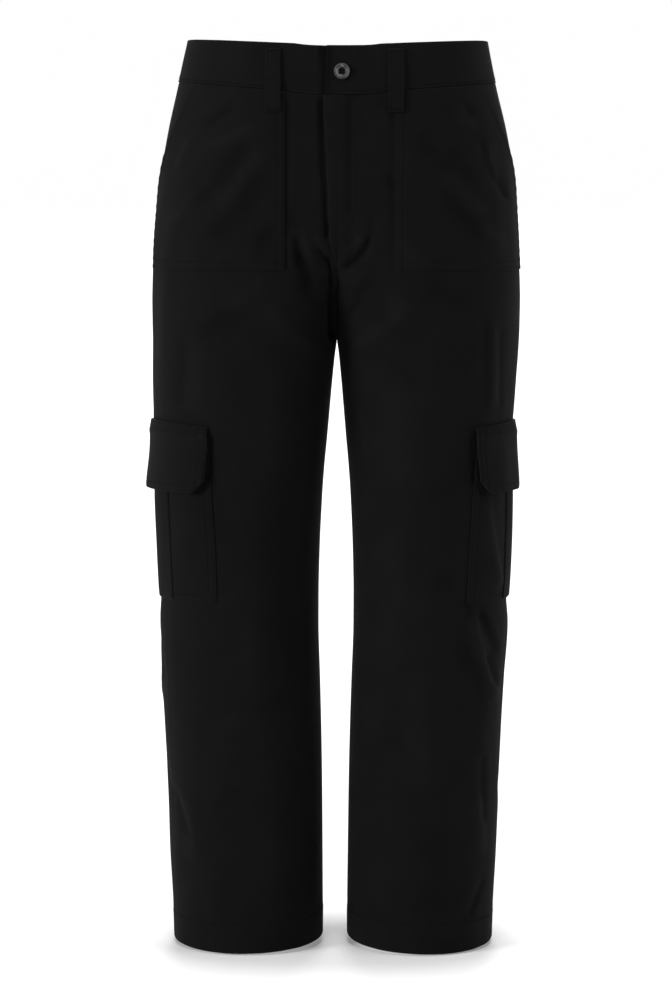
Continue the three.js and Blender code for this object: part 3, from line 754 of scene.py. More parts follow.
def column_length(side, face, z, t):
    """Lengths round a panel. Where the crotch runs far in and out, only the cloth near it follows."""
    start = seam_length(side, z) + face * -SEAM_LAP
    edge = inner_edge(side, face, z)
    within = (z < SEAT.top_z) & (z > SEAT.foot_z)
    down = (SEAT.top_z - z) / (SEAT.top_z - SEAT.foot_z)
    upper, lower = (inner_edge(side, face, np.array([z]))[0] for z in (SEAT.top_z, SEAT.foot_z))
    rest = np.where(within, mix(upper, lower, down), edge)
    return mix(start[:, None], rest[:, None], t) + (edge - rest)[:, None] * t ** SEAT.power


def grid_normals(points):
    """The outward direction at each point of a grid, found from its neighbours."""
    down, over = np.gradient(points, axis=0), np.gradient(points, axis=1)
    normal = np.cross(over, down)
    normal /= np.linalg.norm(normal, axis=-1, keepdims=True)
    centre = np.array([0.0, 0.0, 0.0])
    if points[..., 2].min() < CROTCH_Z:
        centre[0] = np.sign(points[..., 0].mean()) * LEG_MIDDLE_X
    outside = np.einsum("ijk,ijk->ij", normal[..., :2], (points - centre)[..., :2]).sum()
    return normal if outside > 0 else -normal


def thread_shape():
    """One stitch, modelled once: a short five-sided thread whose ends dip into the cloth."""
    bpy.ops.object.select_all(action="DESELECT")
    bpy.ops.mesh.primitive_cylinder_add(vertices=5, radius=1, depth=1, rotation=(0, math.pi / 2, 0))
    made = bpy.context.object
    bpy.ops.object.transform_apply(location=True, rotation=True, scale=True)
    bpy.ops.object.mode_set(mode="EDIT")
    body = bmesh.from_edit_mesh(made.data)
    for edge in body.edges:
        edge.select = abs(edge.verts[0].co.x - edge.verts[1].co.x) > 0.5
    bpy.ops.mesh.subdivide(number_cuts=1)
    body = bmesh.from_edit_mesh(made.data)
    for vert in body.verts:
        vert.select = abs(vert.co.x) > 0.4
    body.select_flush_mode()
    bpy.ops.transform.resize(value=(1, THREAD["end_size"], THREAD["end_size"]))
    bpy.ops.transform.translate(value=(0, 0, -THREAD["end_sinks"]))
    bpy.ops.object.mode_set(mode="OBJECT")
    points = np.array([vert.co for vert in made.data.vertices])
    faces = [list(face.vertices) for face in made.data.polygons]
    remove(made)
    return points, faces


def sew(name, lines, stitch=None, gap=None, thread_name="black_thread"):
    """Stitches along each line of points and outward directions, as one mesh."""
    thread = settings().thread
    stitch = thread.stitch if stitch is None else stitch
    gap = thread.gap if gap is None else gap
    starts, ends, ups = [], [], []
    for points, normals in lines:
        steps = np.linalg.norm(np.diff(points, axis=0), axis=1)
        run = np.concatenate(([0], np.cumsum(steps)))
        count = max(1, int((run[-1] + gap) / (stitch + gap)))
        first = (run[-1] - count * (stitch + gap) + gap) / 2 + np.arange(count) * (stitch + gap)
        for found, at in ((starts, first), (ends, first + stitch)):
            found.append(np.stack([np.interp(at, run, points[:, k]) for k in range(3)], -1))
        ups.append(np.stack([np.interp(first + stitch / 2, run, normals[:, k]) for k in range(3)], -1))
    start, end, up = (np.concatenate(part) for part in (starts, ends, ups))
    forward = end - start
    across = np.cross(up, forward)
    across /= np.linalg.norm(across, axis=1, keepdims=True)
    up = np.cross(forward, across)
    up /= np.linalg.norm(up, axis=1, keepdims=True)
    shape, faces = thread_shape()
    radius = thread.diameter / 2
    points = (
        (start + end)[:, None, :] / 2
        + shape[None, :, 0:1] * forward[:, None, :]
        + shape[None, :, 1:2] * radius * across[:, None, :]
        + (shape[None, :, 2:3] + THREAD["stands"]) * radius * up[:, None, :]
    ).reshape(-1, 3)
    every = [[k + i * len(shape) for k in face] for i in range(len(start)) for face in faces]
    mesh = bpy.data.meshes.new(name)
    mesh.from_pydata(points.tolist(), [], every)
    obj = linked(name, mesh, len(every))
    mesh.materials.append(thread_material(thread_name))
    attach(obj, BODY)
    return obj


def dress(obj, node):
    """Gives a cloth piece its material and its body, and hides the part that it stands for."""
    obj.data.materials.append(twill_material())
    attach(obj, BODY)
    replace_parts(obj, node)
    return obj


def make_panel(side, face):
    """A front or a back, from the waist seam to the hem."""
    wall = settings().cloth.thickness
    fall = BAND_FOOT.side - HEM_Z
    hem_line = fall - HEM_DEPTH
    down = graded(fall, settings().cloth.spacing, (0, hem_line, fall))
    levels = BAND_FOOT.side - down
    nominal = PANEL_WIDTH[face]
    over_fly = side > 0 and face > 0
    j_place = nominal - J_STITCH.from_edge
    marks = [0, nominal] + ([j_place] if over_fly else [])
    marks += [nominal - way for way in NEAR_FLY] if face > 0 else []
    places = graded(nominal, settings().cloth.spacing, marks)
    around = seam_length(side, levels) + face * -SEAM_LAP
    width = np.abs(inner_edge(side, face, levels) - around)[:, None]
    from_seam = np.minimum(fitted(places, nominal, width), width)
    length = column_length(side, face, levels, from_seam / width)
    u = TAPES[side].u_at_length(levels[:, None], length)
    level, below = (np.broadcast_to(a[:, None], u.shape) for a in (levels, down))
    slope = band_line(BAND_FOOT, u) - BAND_FOOT.side
    z = level + slope * (1 - ease(0, BAND_BLEND, down[:, None])) + hem_rise(level, u)
    z[0] -= SEAM_GAP
    drop = edge_drop(below, SEAM_DROP.waist) + edge_drop(from_seam, SEAM_DROP.outside)
    drop = drop + edge_drop(width - from_seam, SEAM_DROP.inside)
    drop = np.minimum(drop, SEAM_DROP.of_wall * wall) + edge_drop(fall - below, HEM_DROP, HEM_ROUND)
    drop = drop + stitch_dip(below, [hem_line], length)
    drop = drop - HEM_STEP.height * ease(hem_line - HEM_STEP.above, hem_line + HEM_STEP.under, below)
    if over_fly:
        stitched = ease(J_STITCH.turn_z - J_STITCH.blend, J_STITCH.turn_z, z)
        drop = drop + stitched * stitch_dip(width - from_seam, [J_STITCH.from_edge], z)
    # The crease heights come back too, to paint shade in troughs and highlight on ridges.
    outer, painted_shade_and_swing = cloth(side, z, u, -drop, over_fly, with_painted_shade=True)
    outer = own_side(outer, side, face, z, u)
    inner_lift = -np.where(below > hem_line, HEM_WALL, wall)
    inner = own_side(cloth(side, z, u, inner_lift, fly=over_fly), side, face, z, u)
    edge = np.minimum(np.minimum(from_seam, width - from_seam), fall - below)
    kind = "front_panel" if face > 0 else "back_panel"
    name = f"{kind}_{side_name(side)}"
    obj = shell(f"{name}_cloth", outer, inner, np.stack((length, z), -1), wear_near(edge), painted_shade_and_swing)
    normals = grid_normals(outer)
    lines = row_lines(outer, normals, down, [hem_line])
    if over_fly:
        upper = levels > J_STITCH.turn_z
        lines += column_lines(outer, normals, places, [j_place], upper)
        lines += [fly_turn(lines[-1][0][-1]), *fly_tack()]
    stitching = sew(f"{name}_stitching", lines)
    return dress(obj, name)


def wear_near(edge):
    """How worn the cloth is at a distance from its edge."""
    return np.exp(-edge / WEAR_REACH)


def cloth_line(side, face, x, z):
    """Points and outward directions on the cloth, under places seen from the front or back."""
    u = TAPES[side].u_at_length(z, TAPES[side].length_at_x(z, side * x, face))
    normal = outward(side, z, u)
    normal[..., 0] *= side
    return cloth(side, z, u), normal


def fly_turn(start):
    """The foot of the fly's stitching, where it curves in to the centre seam."""
    turn = np.linspace(0, math.pi / 2, J_STITCH.turn_points)
    foot_z = FLY.foot_z + J_STITCH.above_foot
    x = J_STITCH.foot_x + (start[0] - J_STITCH.foot_x) * np.cos(turn)
    return cloth_line(1, 1, x, start[2] - (start[2] - foot_z) * np.sin(turn))


def fly_tack():
    """The bar tack at the foot of the fly: short threads side by side."""
    left = FLY.foot_x + FLY_TACK.inset
    x = np.array([left, left + FLY_TACK.width])
    top_z = FLY.foot_z + FLY_TACK.up
    return [cloth_line(1, 1, x, np.full(2, top_z - k * FLY_TACK.pitch)) for k in range(FLY_TACK.rows)]


def band_half(side, end_x, down):
    """One side of the waistband, from its end at the front to the centre back."""
    height = down[-1]
    level = (down / height)[:, None]
    tape = TAPES[side]
    middle_z = mix(BAND_TOP.front, BAND_FOOT.front, 0.5)
    end = float(tape.length_at_x(np.array(middle_z), np.array(end_x), 1))
    back = float(tape.length_at_u(np.array(middle_z), np.array(-1.0)))
    places = graded(end - back, settings().cloth.spacing, (0, BAND_STITCH) if side > 0 else (0,))
    if side < 0:
        places = places[:-1]
    length = end - places
    u = tape.u_at_length(middle_z, length)[None, :]
    z = mix(band_line(BAND_TOP, u), band_line(BAND_FOOT, u), level)
    point, normal = section(side, z, u), outward(side, z, u)
    lap = BAND.lap * (1 - ease(BAND.flat_x, BAND.fade_x, point[..., 0])) * (side > 0) * (u > 0)
    point[..., 0] *= side
    normal[..., 0] *= side
    from_end = np.broadcast_to(places[None, :], z.shape)
    below = np.broadcast_to(down[:, None], z.shape)
    drop = edge_drop(below, FOLD_DROP, BAND_ROUND) + edge_drop(height - below, PATCH_DROP)
    drop = np.minimum(drop + edge_drop(from_end, SEAM_DROP.outside), BAND.deepest)
    drop = drop + BAND.foot_dip * stitch_dip(height - below, [BAND_STITCH], length[None, :])
    if side > 0:
        drop = drop + stitch_dip(from_end, [BAND_STITCH], z)
    around = length[None, :] - seam_length(side, z)
    # Painted shade on the cloth beside the band's lapping ends, deeper towards the foot; the wear is
    # lessened where it lies.
    darker = -mix(BAND.dark_top, BAND.dark_foot, level)
    painted_shade_and_swing = BAND.end_dark * darker * np.exp(-((from_end / BAND.hollow_width) ** 2))
    if side < 0:
        # On the right half the painted shade lies instead in the hollow beside the lap's edge.
        from_lap = (point[..., 0] - BAND.hollow_x) / BAND.hollow_width
        hollow = np.exp(-(from_lap**2)) * (u > 0)
        painted_shade_and_swing, lap = darker * hollow, lap - BAND.hollow * hollow
    waves = BAND.waves * soft_waves(side, around, z) * (np.abs(u) < BAND.waves_end)
    lift = BAND.proud + lap + waves
    outer = point + normal * (lift - drop)[..., None]
    inner_drop = BAND.wall - edge_drop(below, SEAM_DROP.waist, BAND_ROUND)
    inner = point + normal * (lift - inner_drop)[..., None]
    weave = np.stack(np.broadcast_arrays(side * length[None, :], z), -1)
    return outer, inner, weave, wear_near(np.minimum(below, height - below)) * (1 + painted_shade_and_swing), painted_shade_and_swing


def make_waistband():
    """The band, whose outer end laps over its inner end at the front."""
    height = BAND_TOP.side - BAND_FOOT.side
    down = graded(height, BAND_STEP * settings().cloth.spacing, (0, height - BAND_STITCH, height))
    left, right = band_half(1, BAND.outer_end_x, down), band_half(-1, -BAND.inner_end_x, down)
    faces = [np.concatenate((a, b[:, ::-1]), axis=1) for a, b in zip(left, right)]
    obj = shell("waistband_cloth", *faces)
    outer, normals = faces[0], grid_normals(faces[0])
    row = nearest(down, height - BAND_STITCH)
    steps = np.linalg.norm(np.diff(outer[row], axis=0), axis=1)
    column = nearest(np.concatenate(([0], np.cumsum(steps))), BAND_STITCH)
    lines = [(outer[row, column:], normals[row, column:]), (outer[1:row, column], normals[1:row, column])]
    stitching = sew("waistband_stitching", lines)
    hole = sew("buttonhole_stitching", buttonhole_lines())
    return dress(obj, "waistband")


def band_place(x, z):
    """Points on the waistband's outer end, and their outward directions."""
    tape = TAPES[1]
    u = tape.u_at_length(z, tape.length_at_x(z, x, 1))
    point, normal = section(1, z, u), outward(1, z, u)
    return point + normal * (BAND.proud + BAND.lap), normal


def buttonhole_lines():
    """Close stitches above and below the slit, and across its end."""
    count = int((BUTTONHOLE.end_x - BUTTONHOLE.start_x) / BUTTONHOLE.pitch)
    near, far = 0.5 * BUTTONHOLE.slit, 0.5 * BUTTONHOLE.slit + BUTTONHOLE.stitch
    start, end = BUTTONHOLE.start_x, BUTTONHOLE.end_x
    rows = [(start, count, (near, far)), (start, count, (-near, -far))]
    rows.append((end, BUTTONHOLE.end_stitches, (-far, far)))
    lines = []
    for first_x, number, reach in rows:
        for k in range(number):
            x = np.full(2, first_x + k * BUTTONHOLE.pitch)
            lines.append(band_place(x, BUTTON.z + np.array(reach)))
    return lines


def patch(side, z, length, lift, wall, drop, edge):
    """A piece laid on the cloth: its two faces, weave map, wear and the crease heights that paint its
    shade and highlight.
    """
    u = TAPES[side].u_at_length(z, length)
    outer, painted_shade_and_swing = cloth(side, z, u, lift + wall - drop, with_painted_shade=True)
    return outer, cloth(side, z, u, lift), np.stack((length, z), -1), wear_near(edge), painted_shade_and_swing


def twin_grid(width, height, across=(), top=(0,)):
    """Places over and down a patch, closer at its edges and at its twin rows of stitches."""
    step = PATCH_STEP * settings().cloth.spacing
    double = (0, *TWIN)
    places = graded(width, step, [*double, *(width - mark for mark in double), *across])
    return places, graded(height, step, [*top, *(height - mark for mark in double)])


def nearest(places, mark):
    """The number of the place that is nearest to a mark."""
    return int(np.abs(places - mark).argmin())


def column_lines(outer, normals, places, marks, rows=slice(None)):
    """Stitch lines down the columns that lie at the marks."""
    found = [nearest(places, mark) for mark in marks]
    return [(outer[rows, column], normals[rows, column]) for column in found]


def row_lines(outer, normals, places, marks):
    """Stitch lines along the rows that lie at the marks."""
    found = [nearest(places, mark) for mark in marks]
    return [(outer[row], normals[row]) for row in found]


def both_sides(places):
    """The marks of twin stitch lines from both ends of a row of places."""
    return [*TWIN, *(places[-1] - mark for mark in TWIN)]


def finish_pocket(kind, name, faces, places, down):
    """Closes a pocket's wall and sews it on with twin rows down its sides and along its foot."""
    obj = shell(f"{kind}_{name}_cloth", *faces)
    outer, normals = faces[0], grid_normals(faces[0])
    sewn = slice(None, nearest(down, down[-1] - INNER_STITCH) + 1)
    lines = column_lines(outer, normals, places, both_sides(places), sewn)
    lines += row_lines(outer, normals, down, [down[-1] - mark for mark in TWIN])
    stitching = sew(f"{kind}_{name}_stitching", lines)
    return dress(obj, f"{kind}_{name}")


def make_front_pocket(side):
    """A patch pocket from the waist to below the hip, open along a slant at the side seam."""
    tape, name = TAPES[side], side_name(side)
    nominal, height = FRONT_POCKET.width, FRONT_POCKET.height
    foot_z, mouth_z = FRONT_POCKET.foot_z, FRONT_POCKET.mouth_foot_z
    places, down = twin_grid(nominal, height)
    t = (places / nominal)[None, :]
    share = (down / height)[:, None]
    level = mix(BAND_FOOT.front, BAND_FOOT.side, t**2)
    edge_x = side * FRONT_POCKET.edge_x[name]
    seam = seam_length(side, level) + FRONT_POCKET.mouth_top
    reach = mix(tape.length_at_x(level, edge_x, 1), seam, t)
    top = band_line(BAND_FOOT, tape.u_at_length(level, reach)) - 2 * SEAM_GAP
    z = mix(top, foot_z, share)
    mouth = ease(mouth_z, BAND_FOOT.side, z) * FRONT_POCKET.mouth_top
    start = tape.length_at_x(z, edge_x, 1)
    width = start - (seam_length(side, z) + FRONT_POCKET.behind_seam + mouth)
    from_edge = fitted(places[None, :], nominal, width)
    length = start - from_edge
    from_mouth, from_foot = width - from_edge, (1 - share) * height + 0 * z
    edges = (from_edge, from_mouth, from_foot)
    drop = np.minimum(sum(edge_drop(each, PATCH_DROP) for each in edges), PATCH_DEEPEST)
    drop = drop + edge_drop(share * height + 0 * z, PATCH_DROP)
    drop = drop + stitch_dip(from_edge, TWIN, z) + stitch_dip(from_foot, TWIN, length)
    drop = drop + stitch_dip(from_mouth, TWIN, z)
    opening = np.sin(math.pi * clamp01((z - mouth_z) / (BAND_FOOT.side - mouth_z)))
    gape = FRONT_POCKET.gape * opening * np.exp(-from_mouth / FRONT_POCKET.gape_width)
    faces = patch(side, z, length, LAY_GAP + gape, PATCH_WALL, drop, np.minimum.reduce(edges))
    return finish_pocket("front_pocket", name, faces, places, down)


def cargo_lift(z, offset):
    """The cargo pocket lies flat at its edges and swells a little between them."""
    up = clamp01((z - CARGO.foot_z) / (CARGO.top_z - CARGO.foot_z))
    across = clamp01(np.abs(offset) / CARGO.half)
    return LAY_GAP + CARGO.bulge * (1 - across**4) * np.sin(up * math.pi) ** CARGO.fullness


def leg_strip(side, half, top_wider, places, down):
    """A strip down the side seam: heights, places round it, and distances from its sides and foot."""
    z = (CARGO.top_z - down)[:, None] + 0 * places[None, :]
    offset = (places - half)[None, :] + 0 * z
    widen = top_wider * (offset / half) * (1 - (down / down[-1])[:, None])
    length = seam_length(side, z) + offset + widen
    return z, offset, length, half - np.abs(offset), (down[-1] - down)[:, None] + 0 * z


def make_cargo_pocket(side):
    """The pocket on the outside of the leg."""
    name, half = side_name(side), CARGO.half
    places, down = twin_grid(2 * half, CARGO.top_z - CARGO.foot_z)
    strip = leg_strip(side, half, CARGO.top_wider[name], places, down)
    z, offset, length, from_side, from_foot = strip
    drop = np.minimum(edge_drop(from_side, PATCH_DROP) + edge_drop(from_foot, PATCH_DROP), PATCH_DEEPEST)
    drop = drop + stitch_dip(from_side, TWIN, z) + stitch_dip(from_foot, TWIN, length)
    edge = np.minimum(from_side, from_foot)
    faces = patch(side, z, length, cargo_lift(z, offset), PATCH_WALL, drop, edge)
    return finish_pocket("cargo_pocket", name, faces, places, down)


def make_cargo_pleat(side):
    """The box pleat down the pocket's middle, whose two folds stand a little off the pocket."""
    name, half = side_name(side), PLEAT.half
    step = PATCH_STEP * settings().cloth.spacing
    height = CARGO.top_z - CARGO.foot_z - PLEAT.foot_inset
    places, down = graded(2 * half, step, (0, 2 * half)), graded(height, step, (0, height))
    strip = leg_strip(side, half, PLEAT.top_wider, places, down)
    z, offset, length, from_side, from_foot = strip
    drop = edge_drop(from_side, SEAM_DROP.outside, PLEAT.round) + edge_drop(from_foot, PATCH_DROP)
    lift = cargo_lift(z, offset) + PLEAT.sunk * PATCH_WALL + LAY_GAP
    crown = PLEAT.crown * np.sin(math.pi * clamp01(from_foot / height)) * (1 - (offset / half) ** 2)
    edge = np.minimum(from_side, from_foot)
    faces = patch(side, z, length, lift + crown, PATCH_WALL, drop, edge)
    obj = shell(f"cargo_pleat_{name}_cloth", *faces)
    return dress(obj, f"cargo_pleat_{name}")


def make_cargo_flap(side):
    """A flap with cut corners, sewn on above the pocket, that springs out at its foot."""
    name, half = side_name(side), FLAP.half
    width, height = 2 * half, FLAP.top_z - FLAP.foot_z
    cuts = (FLAP.cut_width, width - FLAP.cut_width)
    places, down = twin_grid(width, height, cuts, (0, *TWIN))
    offset = (places - half)[None, :] + 0 * down[:, None]
    share = (down / height)[:, None] + 0 * offset
    top = FLAP.top_z - FLAP.drop * (offset / half) ** 2
    cut = FLAP.cut_height * clamp01((np.abs(offset) - half + FLAP.cut_width) / FLAP.cut_width)
    z = mix(top, FLAP.foot_z + cut, share)
    below = ease(FLAP.top_z - FLAP.rest_from, CARGO.top_z + FLAP.rest_to, z)
    rest = mix(LAY_GAP, cargo_lift(z, offset) + 2 * PATCH_WALL + FLAP.clear, below)
    ends = mix(1, FLAP.end_spring, (np.abs(offset) / half) ** 3)
    lift = rest + FLAP.spring[name] * ease(FLAP.spring_from, 1, share) * ends
    from_side, from_foot, from_top = half - np.abs(offset), (1 - share) * height, share * height
    drop = edge_drop(from_side, FOLD_DROP) + edge_drop(from_foot, FOLD_DROP)
    drop = np.minimum(drop + edge_drop(from_top, FLAP.top_drop), FLAP.deepest)
    drop = drop + stitch_dip(from_side, TWIN, z) + stitch_dip(from_foot, TWIN, offset)
    drop = drop + stitch_dip(from_top, TWIN, offset)
    widen = mix(FLAP.top_wider, -FLAP.foot_narrower, share) * (offset / half)
    length = seam_length(side, z) + offset + widen
    edge = np.minimum.reduce((from_side, from_foot, from_top))
    faces = patch(side, z, length, lift, FLAP_WALL, drop, edge)
    obj = shell(f"cargo_flap_{name}_cloth", *faces)
    outer, normals = faces[0], grid_normals(faces[0])
    lines = column_lines(outer, normals, places, both_sides(places))
    lines += row_lines(outer, normals, down, both_sides(down))
    stitching = sew(f"cargo_flap_{name}_stitching", lines)
    corners = (FLAP_TACK.inset, width - FLAP_TACK.inset - FLAP_TACK.width)
    tacks = [line for corner in corners for line in flap_tack(outer, normals, places, down, corner)]
    sew(f"cargo_flap_{name}_tacks", tacks, thread_name="rubbed_thread")
    return dress(obj, f"cargo_flap_{name}")


def grid_line(outer, normals, row, column):
    """Points and outward directions at fractional places in a grid."""
    found = ([look_up(grid[..., axis], row, column) for axis in range(3)] for grid in (outer, normals))
    return tuple(np.stack(each, -1) for each in found)


def flap_tack(outer, normals, places, down, corner):
    """The close stitches that hold an upper corner of a flap."""
    across = np.linspace(corner, corner + FLAP_TACK.width, FLAP_TACK.points)
    column = np.interp(across, places, np.arange(len(places)))
    levels = FLAP_TACK.down + np.arange(FLAP_TACK.rows) * FLAP_TACK.pitch
    rows = np.interp(levels, down, np.arange(len(down)))
    return [grid_line(outer, normals, np.full(len(column), row), column) for row in rows]


def make_belt_loop(node, side, face, x):
    """A folded strip sewn at the top of the waistband and below its seam."""
    step = LOOP_STEP * settings().cloth.spacing
    width, height = LOOP.width, LOOP.length
    places = graded(width, step, (0, LOOP_STITCH, width - LOOP_STITCH, width))
    down = graded(height, step, (0, height))
    top = (BAND_TOP.front if face > 0 else BAND_TOP.back) - LOOP.below
    z = (top - down)[:, None] + 0 * places[None, :]
    tape = TAPES[side]
    centre = tape.length_at_u(z, float(face)) if x == 0 else tape.length_at_x(z, x, face)
    length = centre + places[None, :] - width / 2
    share = (down / height)[:, None]
    lift = mix(LOOP.top_lift, LOOP.foot_lift, np.sin(share * math.pi / 2))
    lift = lift + LOOP.bow * np.sin(math.pi * share) + 0 * z
    from_side = np.minimum(places, width - places)[None, :] + 0 * z
    from_end = np.minimum(down, height - down)[:, None] + 0 * z
    drop = edge_drop(from_side, LOOP.side_drop) + edge_drop(from_end, LOOP.end_drop, LOOP.end_round)
    drop = np.minimum(drop, LOOP.deepest) + stitch_dip(from_side, [LOOP_STITCH], z)
    u = tape.u_at_length(z, length)
    outer = cloth(side, z, u, lift + LOOP_WALL - drop, fly=False)
    inner = cloth(side, z, u, lift, fly=False)
    wear = LOOP.wear * wear_near(np.minimum(from_side, from_end))
    obj = shell(f"{node}_cloth", outer, inner, np.stack((z, length), -1), wear, 0 * wear)
    normals = grid_normals(outer)
    lines = column_lines(outer, normals, places, [LOOP_STITCH, width - LOOP_STITCH])
    for at in (LOOP_TACK.top, height - LOOP_TACK.foot):
        lines += loop_tack(outer, normals, places, down, at)
    stitching = sew(f"{node}_stitching", lines)
    return dress(obj, node)


def loop_tack(outer, normals, places, down, at):
    """A bar tack across a loop."""
    row = np.interp([at, at + LOOP_TACK.height], down, np.arange(len(down)))
    across = np.linspace(LOOP_TACK.inset, LOOP.width - LOOP_TACK.inset, LOOP_TACK.count)
    columns = np.interp(across, places, np.arange(len(places)))
    return [grid_line(outer, normals, row, np.full(2, column)) for column in columns]


def make_button():
    """A turned metal button with a rim round a sunk middle, sewn through four holes."""
    bpy.ops.object.select_all(action="DESELECT")
    half = BUTTON.thickness / 2
    bpy.ops.mesh.primitive_cylinder_add(vertices=64, radius=BUTTON.radius, depth=BUTTON.thickness)
    obj = bpy.context.object
    obj.name = "waist_button_metal"
    bpy.ops.object.mode_set(mode="EDIT")
    bpy.ops.mesh.select_mode(type="FACE")
    bpy.ops.mesh.select_all(action="DESELECT")
    body = bmesh.from_edit_mesh(obj.data)
    for face in body.faces:
        face.select = face.normal.z > 0.9
    for inset, rise in BUTTON_STEPS:
        bpy.ops.mesh.inset(thickness=inset, depth=0)
        bpy.ops.transform.translate(value=(0, 0, rise))
    bpy.ops.object.mode_set(mode="OBJECT")
    drill_holes(obj, 6 * half)
    bevel = obj.modifiers.new("edges", "BEVEL")
    bevel.width, bevel.segments = BUTTON.bevel, 3
    bevel.limit_method, bevel.angle_limit = "ANGLE", math.radians(28)
    bpy.ops.object.modifier_apply(modifier=bevel.name)
    point, normal = band_place(np.array([BUTTON.x]), np.array([BUTTON.z]))
    seat = Vector(point[0]) + Vector(normal[0]) * (BUTTON.stand + half)
    turn = Vector(normal[0]).to_track_quat("Z", "Y").to_matrix().to_4x4()
    place = Matrix.Translation(seat) @ turn
    # A lit copy of the gunmetal, and a darkened copy that paints shade into the sunk middle; faces near
    # the middle take the darkened one.
    for shade in ("gunmetal", "dark_gunmetal"):
        obj.data.materials.append(metal_material(shade))
    for face in obj.data.polygons:
        face.material_index = int(math.hypot(face.center.x, face.center.y) < BUTTON.dark)
    obj.data.transform(place)
    bpy.ops.object.select_all(action="DESELECT")
    obj.select_set(True)
    bpy.context.view_layer.objects.active = obj
    bpy.ops.object.shade_smooth_by_angle(angle=math.radians(35))
    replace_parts(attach(obj, BODY), "waist_button")
    sew_button(place, half)
    return obj


def drill_holes(obj, depth):
    """The four holes in the button's middle."""
    cutters = []
    for k in range(4):
        angle = math.pi / 4 + k * math.pi / 2
        where = (BUTTON.hole_place * math.cos(angle), BUTTON.hole_place * math.sin(angle), 0)
        bpy.ops.mesh.primitive_cylinder_add(vertices=16, radius=BUTTON.hole, depth=depth, location=where)
        cutters.append(bpy.context.object)
    for cutter in cutters:
        cut = obj.modifiers.new("hole", "BOOLEAN")
        cut.operation = "DIFFERENCE"
        cut.object = cutter
        bpy.context.view_layer.objects.active = obj
        bpy.ops.object.modifier_apply(modifier=cut.name)
        remove(cutter)


def remove(obj):
    """Takes an object and its mesh out of the file."""
    mesh = obj.data
    bpy.data.objects.remove(obj)
    bpy.data.meshes.remove(mesh)


def sew_button(place, half):
    """Threads between the button's holes, and the shank of thread behind it."""
    reach = BUTTON.hole_place * math.sqrt(0.5)
    turn = place.to_3x3()
    threads = []
    floor = half - BUTTON.well_depth + BUTTON.thread_up
    for way in (-1, 1):
        for k in (-1, 0, 1):
            y = way * reach + k * BUTTON.thread_pitch
            threads.append(((-reach, y, floor), (reach, y, floor), (0, 0, 1)))
    for k in range(BUTTON.shank_threads):
        angle = 2 * math.pi * k / BUTTON.shank_threads
        across, up = math.cos(angle), math.sin(angle)
        x, y = BUTTON.shank * across, BUTTON.shank * up
        ends = (x, y, -half - BUTTON.stand), (x, y, -half + BUTTON.shank_in)
        threads.append((*ends, (across, up, 0)))
    lines = []
    for start, end, up in threads:
        ends = np.array([place @ Vector(start), place @ Vector(end)])
        lines.append((ends, np.array([turn @ Vector(up)] * 2)))
    sew("waist_button_thread", lines, stitch=2 * reach - 0.1 * MM, gap=0.05 * MM)


def material_nodes(name):
    """A new material, with its node tree and its shader."""
    material = bpy.data.materials.new(name)
    material.use_nodes = True
    tree = material.node_tree
    return material, tree, tree.nodes["Principled BSDF"]


def add_node(tree, kind, values=None, **links):
    """A node with its values set and its inputs linked. In a link's name, _ stands for a space."""
    made = tree.nodes.new(kind)
    for key, value in (values or {}).items():
        if key in made.inputs:
            made.inputs[key].default_value = value
        else:
            setattr(made, key, value)
    for key, source in links.items():
        tree.links.new(source, made.inputs[key.replace("_", " ")])
    return made


def sine_lines(tree, coordinates, angle, pitch, wobble):
    """Even ribs at an angle, a pitch apart, from -1 to 1."""
    turn = 2 * math.pi / pitch
    dot = add_node(tree, "ShaderNodeVectorMath", {"operation": "DOT_PRODUCT"})
    tree.links.new(coordinates, dot.inputs[0])
    dot.inputs[1].default_value = (turn * math.cos(angle), turn * math.sin(angle), 0)
    phase = arithmetic(tree, "ADD", dot.outputs["Value"], wobble)
    return arithmetic(tree, "SINE", phase)


def arithmetic(tree, operation, *values):
    """One step of arithmetic on sockets or numbers."""
    made = add_node(tree, "ShaderNodeMath", {"operation": operation})
    for socket, value in zip(made.inputs, values):
        if isinstance(value, (int, float)):
            socket.default_value = value
        else:
            tree.links.new(value, socket)
    return made.outputs[0]


def scaled(tree, source, factor, plus):
    """A socket's value times a factor, plus a number."""
    return arithmetic(tree, "ADD", arithmetic(tree, "MULTIPLY", source, factor), plus)


def noise(tree, coordinates, scale, detail, **values):
    """Soft noise from 0 to 1."""
    values = {"Scale": scale, "Detail": detail, **values}
    return add_node(tree, "ShaderNodeTexNoise", values, Vector=coordinates).outputs["Fac"]


def tint(tree, shader, source, base, tints, span=(0.0, 1.0)):
    """Colours a surface between a dark and a light tint of its base."""
    ramp = add_node(tree, "ShaderNodeValToRGB", Fac=source)
    for stop, place, factor in zip(ramp.color_ramp.elements, span, tints):
        stop.position = place
        stop.color = (*[factor * c for c in base], 1)
    tree.links.new(ramp.outputs["Color"], shader.inputs["Base Color"])


def emboss(tree, shader, height, strength, distance):
    """Raises and sinks a surface by a height socket."""
    bump = add_node(tree, "ShaderNodeBump", {"Strength": strength, "Distance": distance}, Height=height)
    tree.links.new(bump.outputs["Normal"], shader.inputs["Normal"])


def set_inputs(node, values):
    """Sets a node's sockets by name."""
    for key, value in values.items():
        node.inputs[key].default_value = value


# The twill's shader: sizes of its noises, how much each gives to the shade, with the painted shade and
# highlight of the creases among them, and the bump of ribs and yarn
TWILL = {
    "yarn": 900.0, "blotch": 26.0, "fleck": 420.0, "wobble": 3.0, "lean": math.radians(-32),
    "ribs": 0.05, "blotches": 0.34, "flecks": 0.16, "wear": 0.10, "painted_shade_and_swing": 0.22, "base": 0.15,
    "tints": (0.2, 2.2), "rough": 0.78, "rough_flecks": 0.12, "yarn_height": 1.4,
}


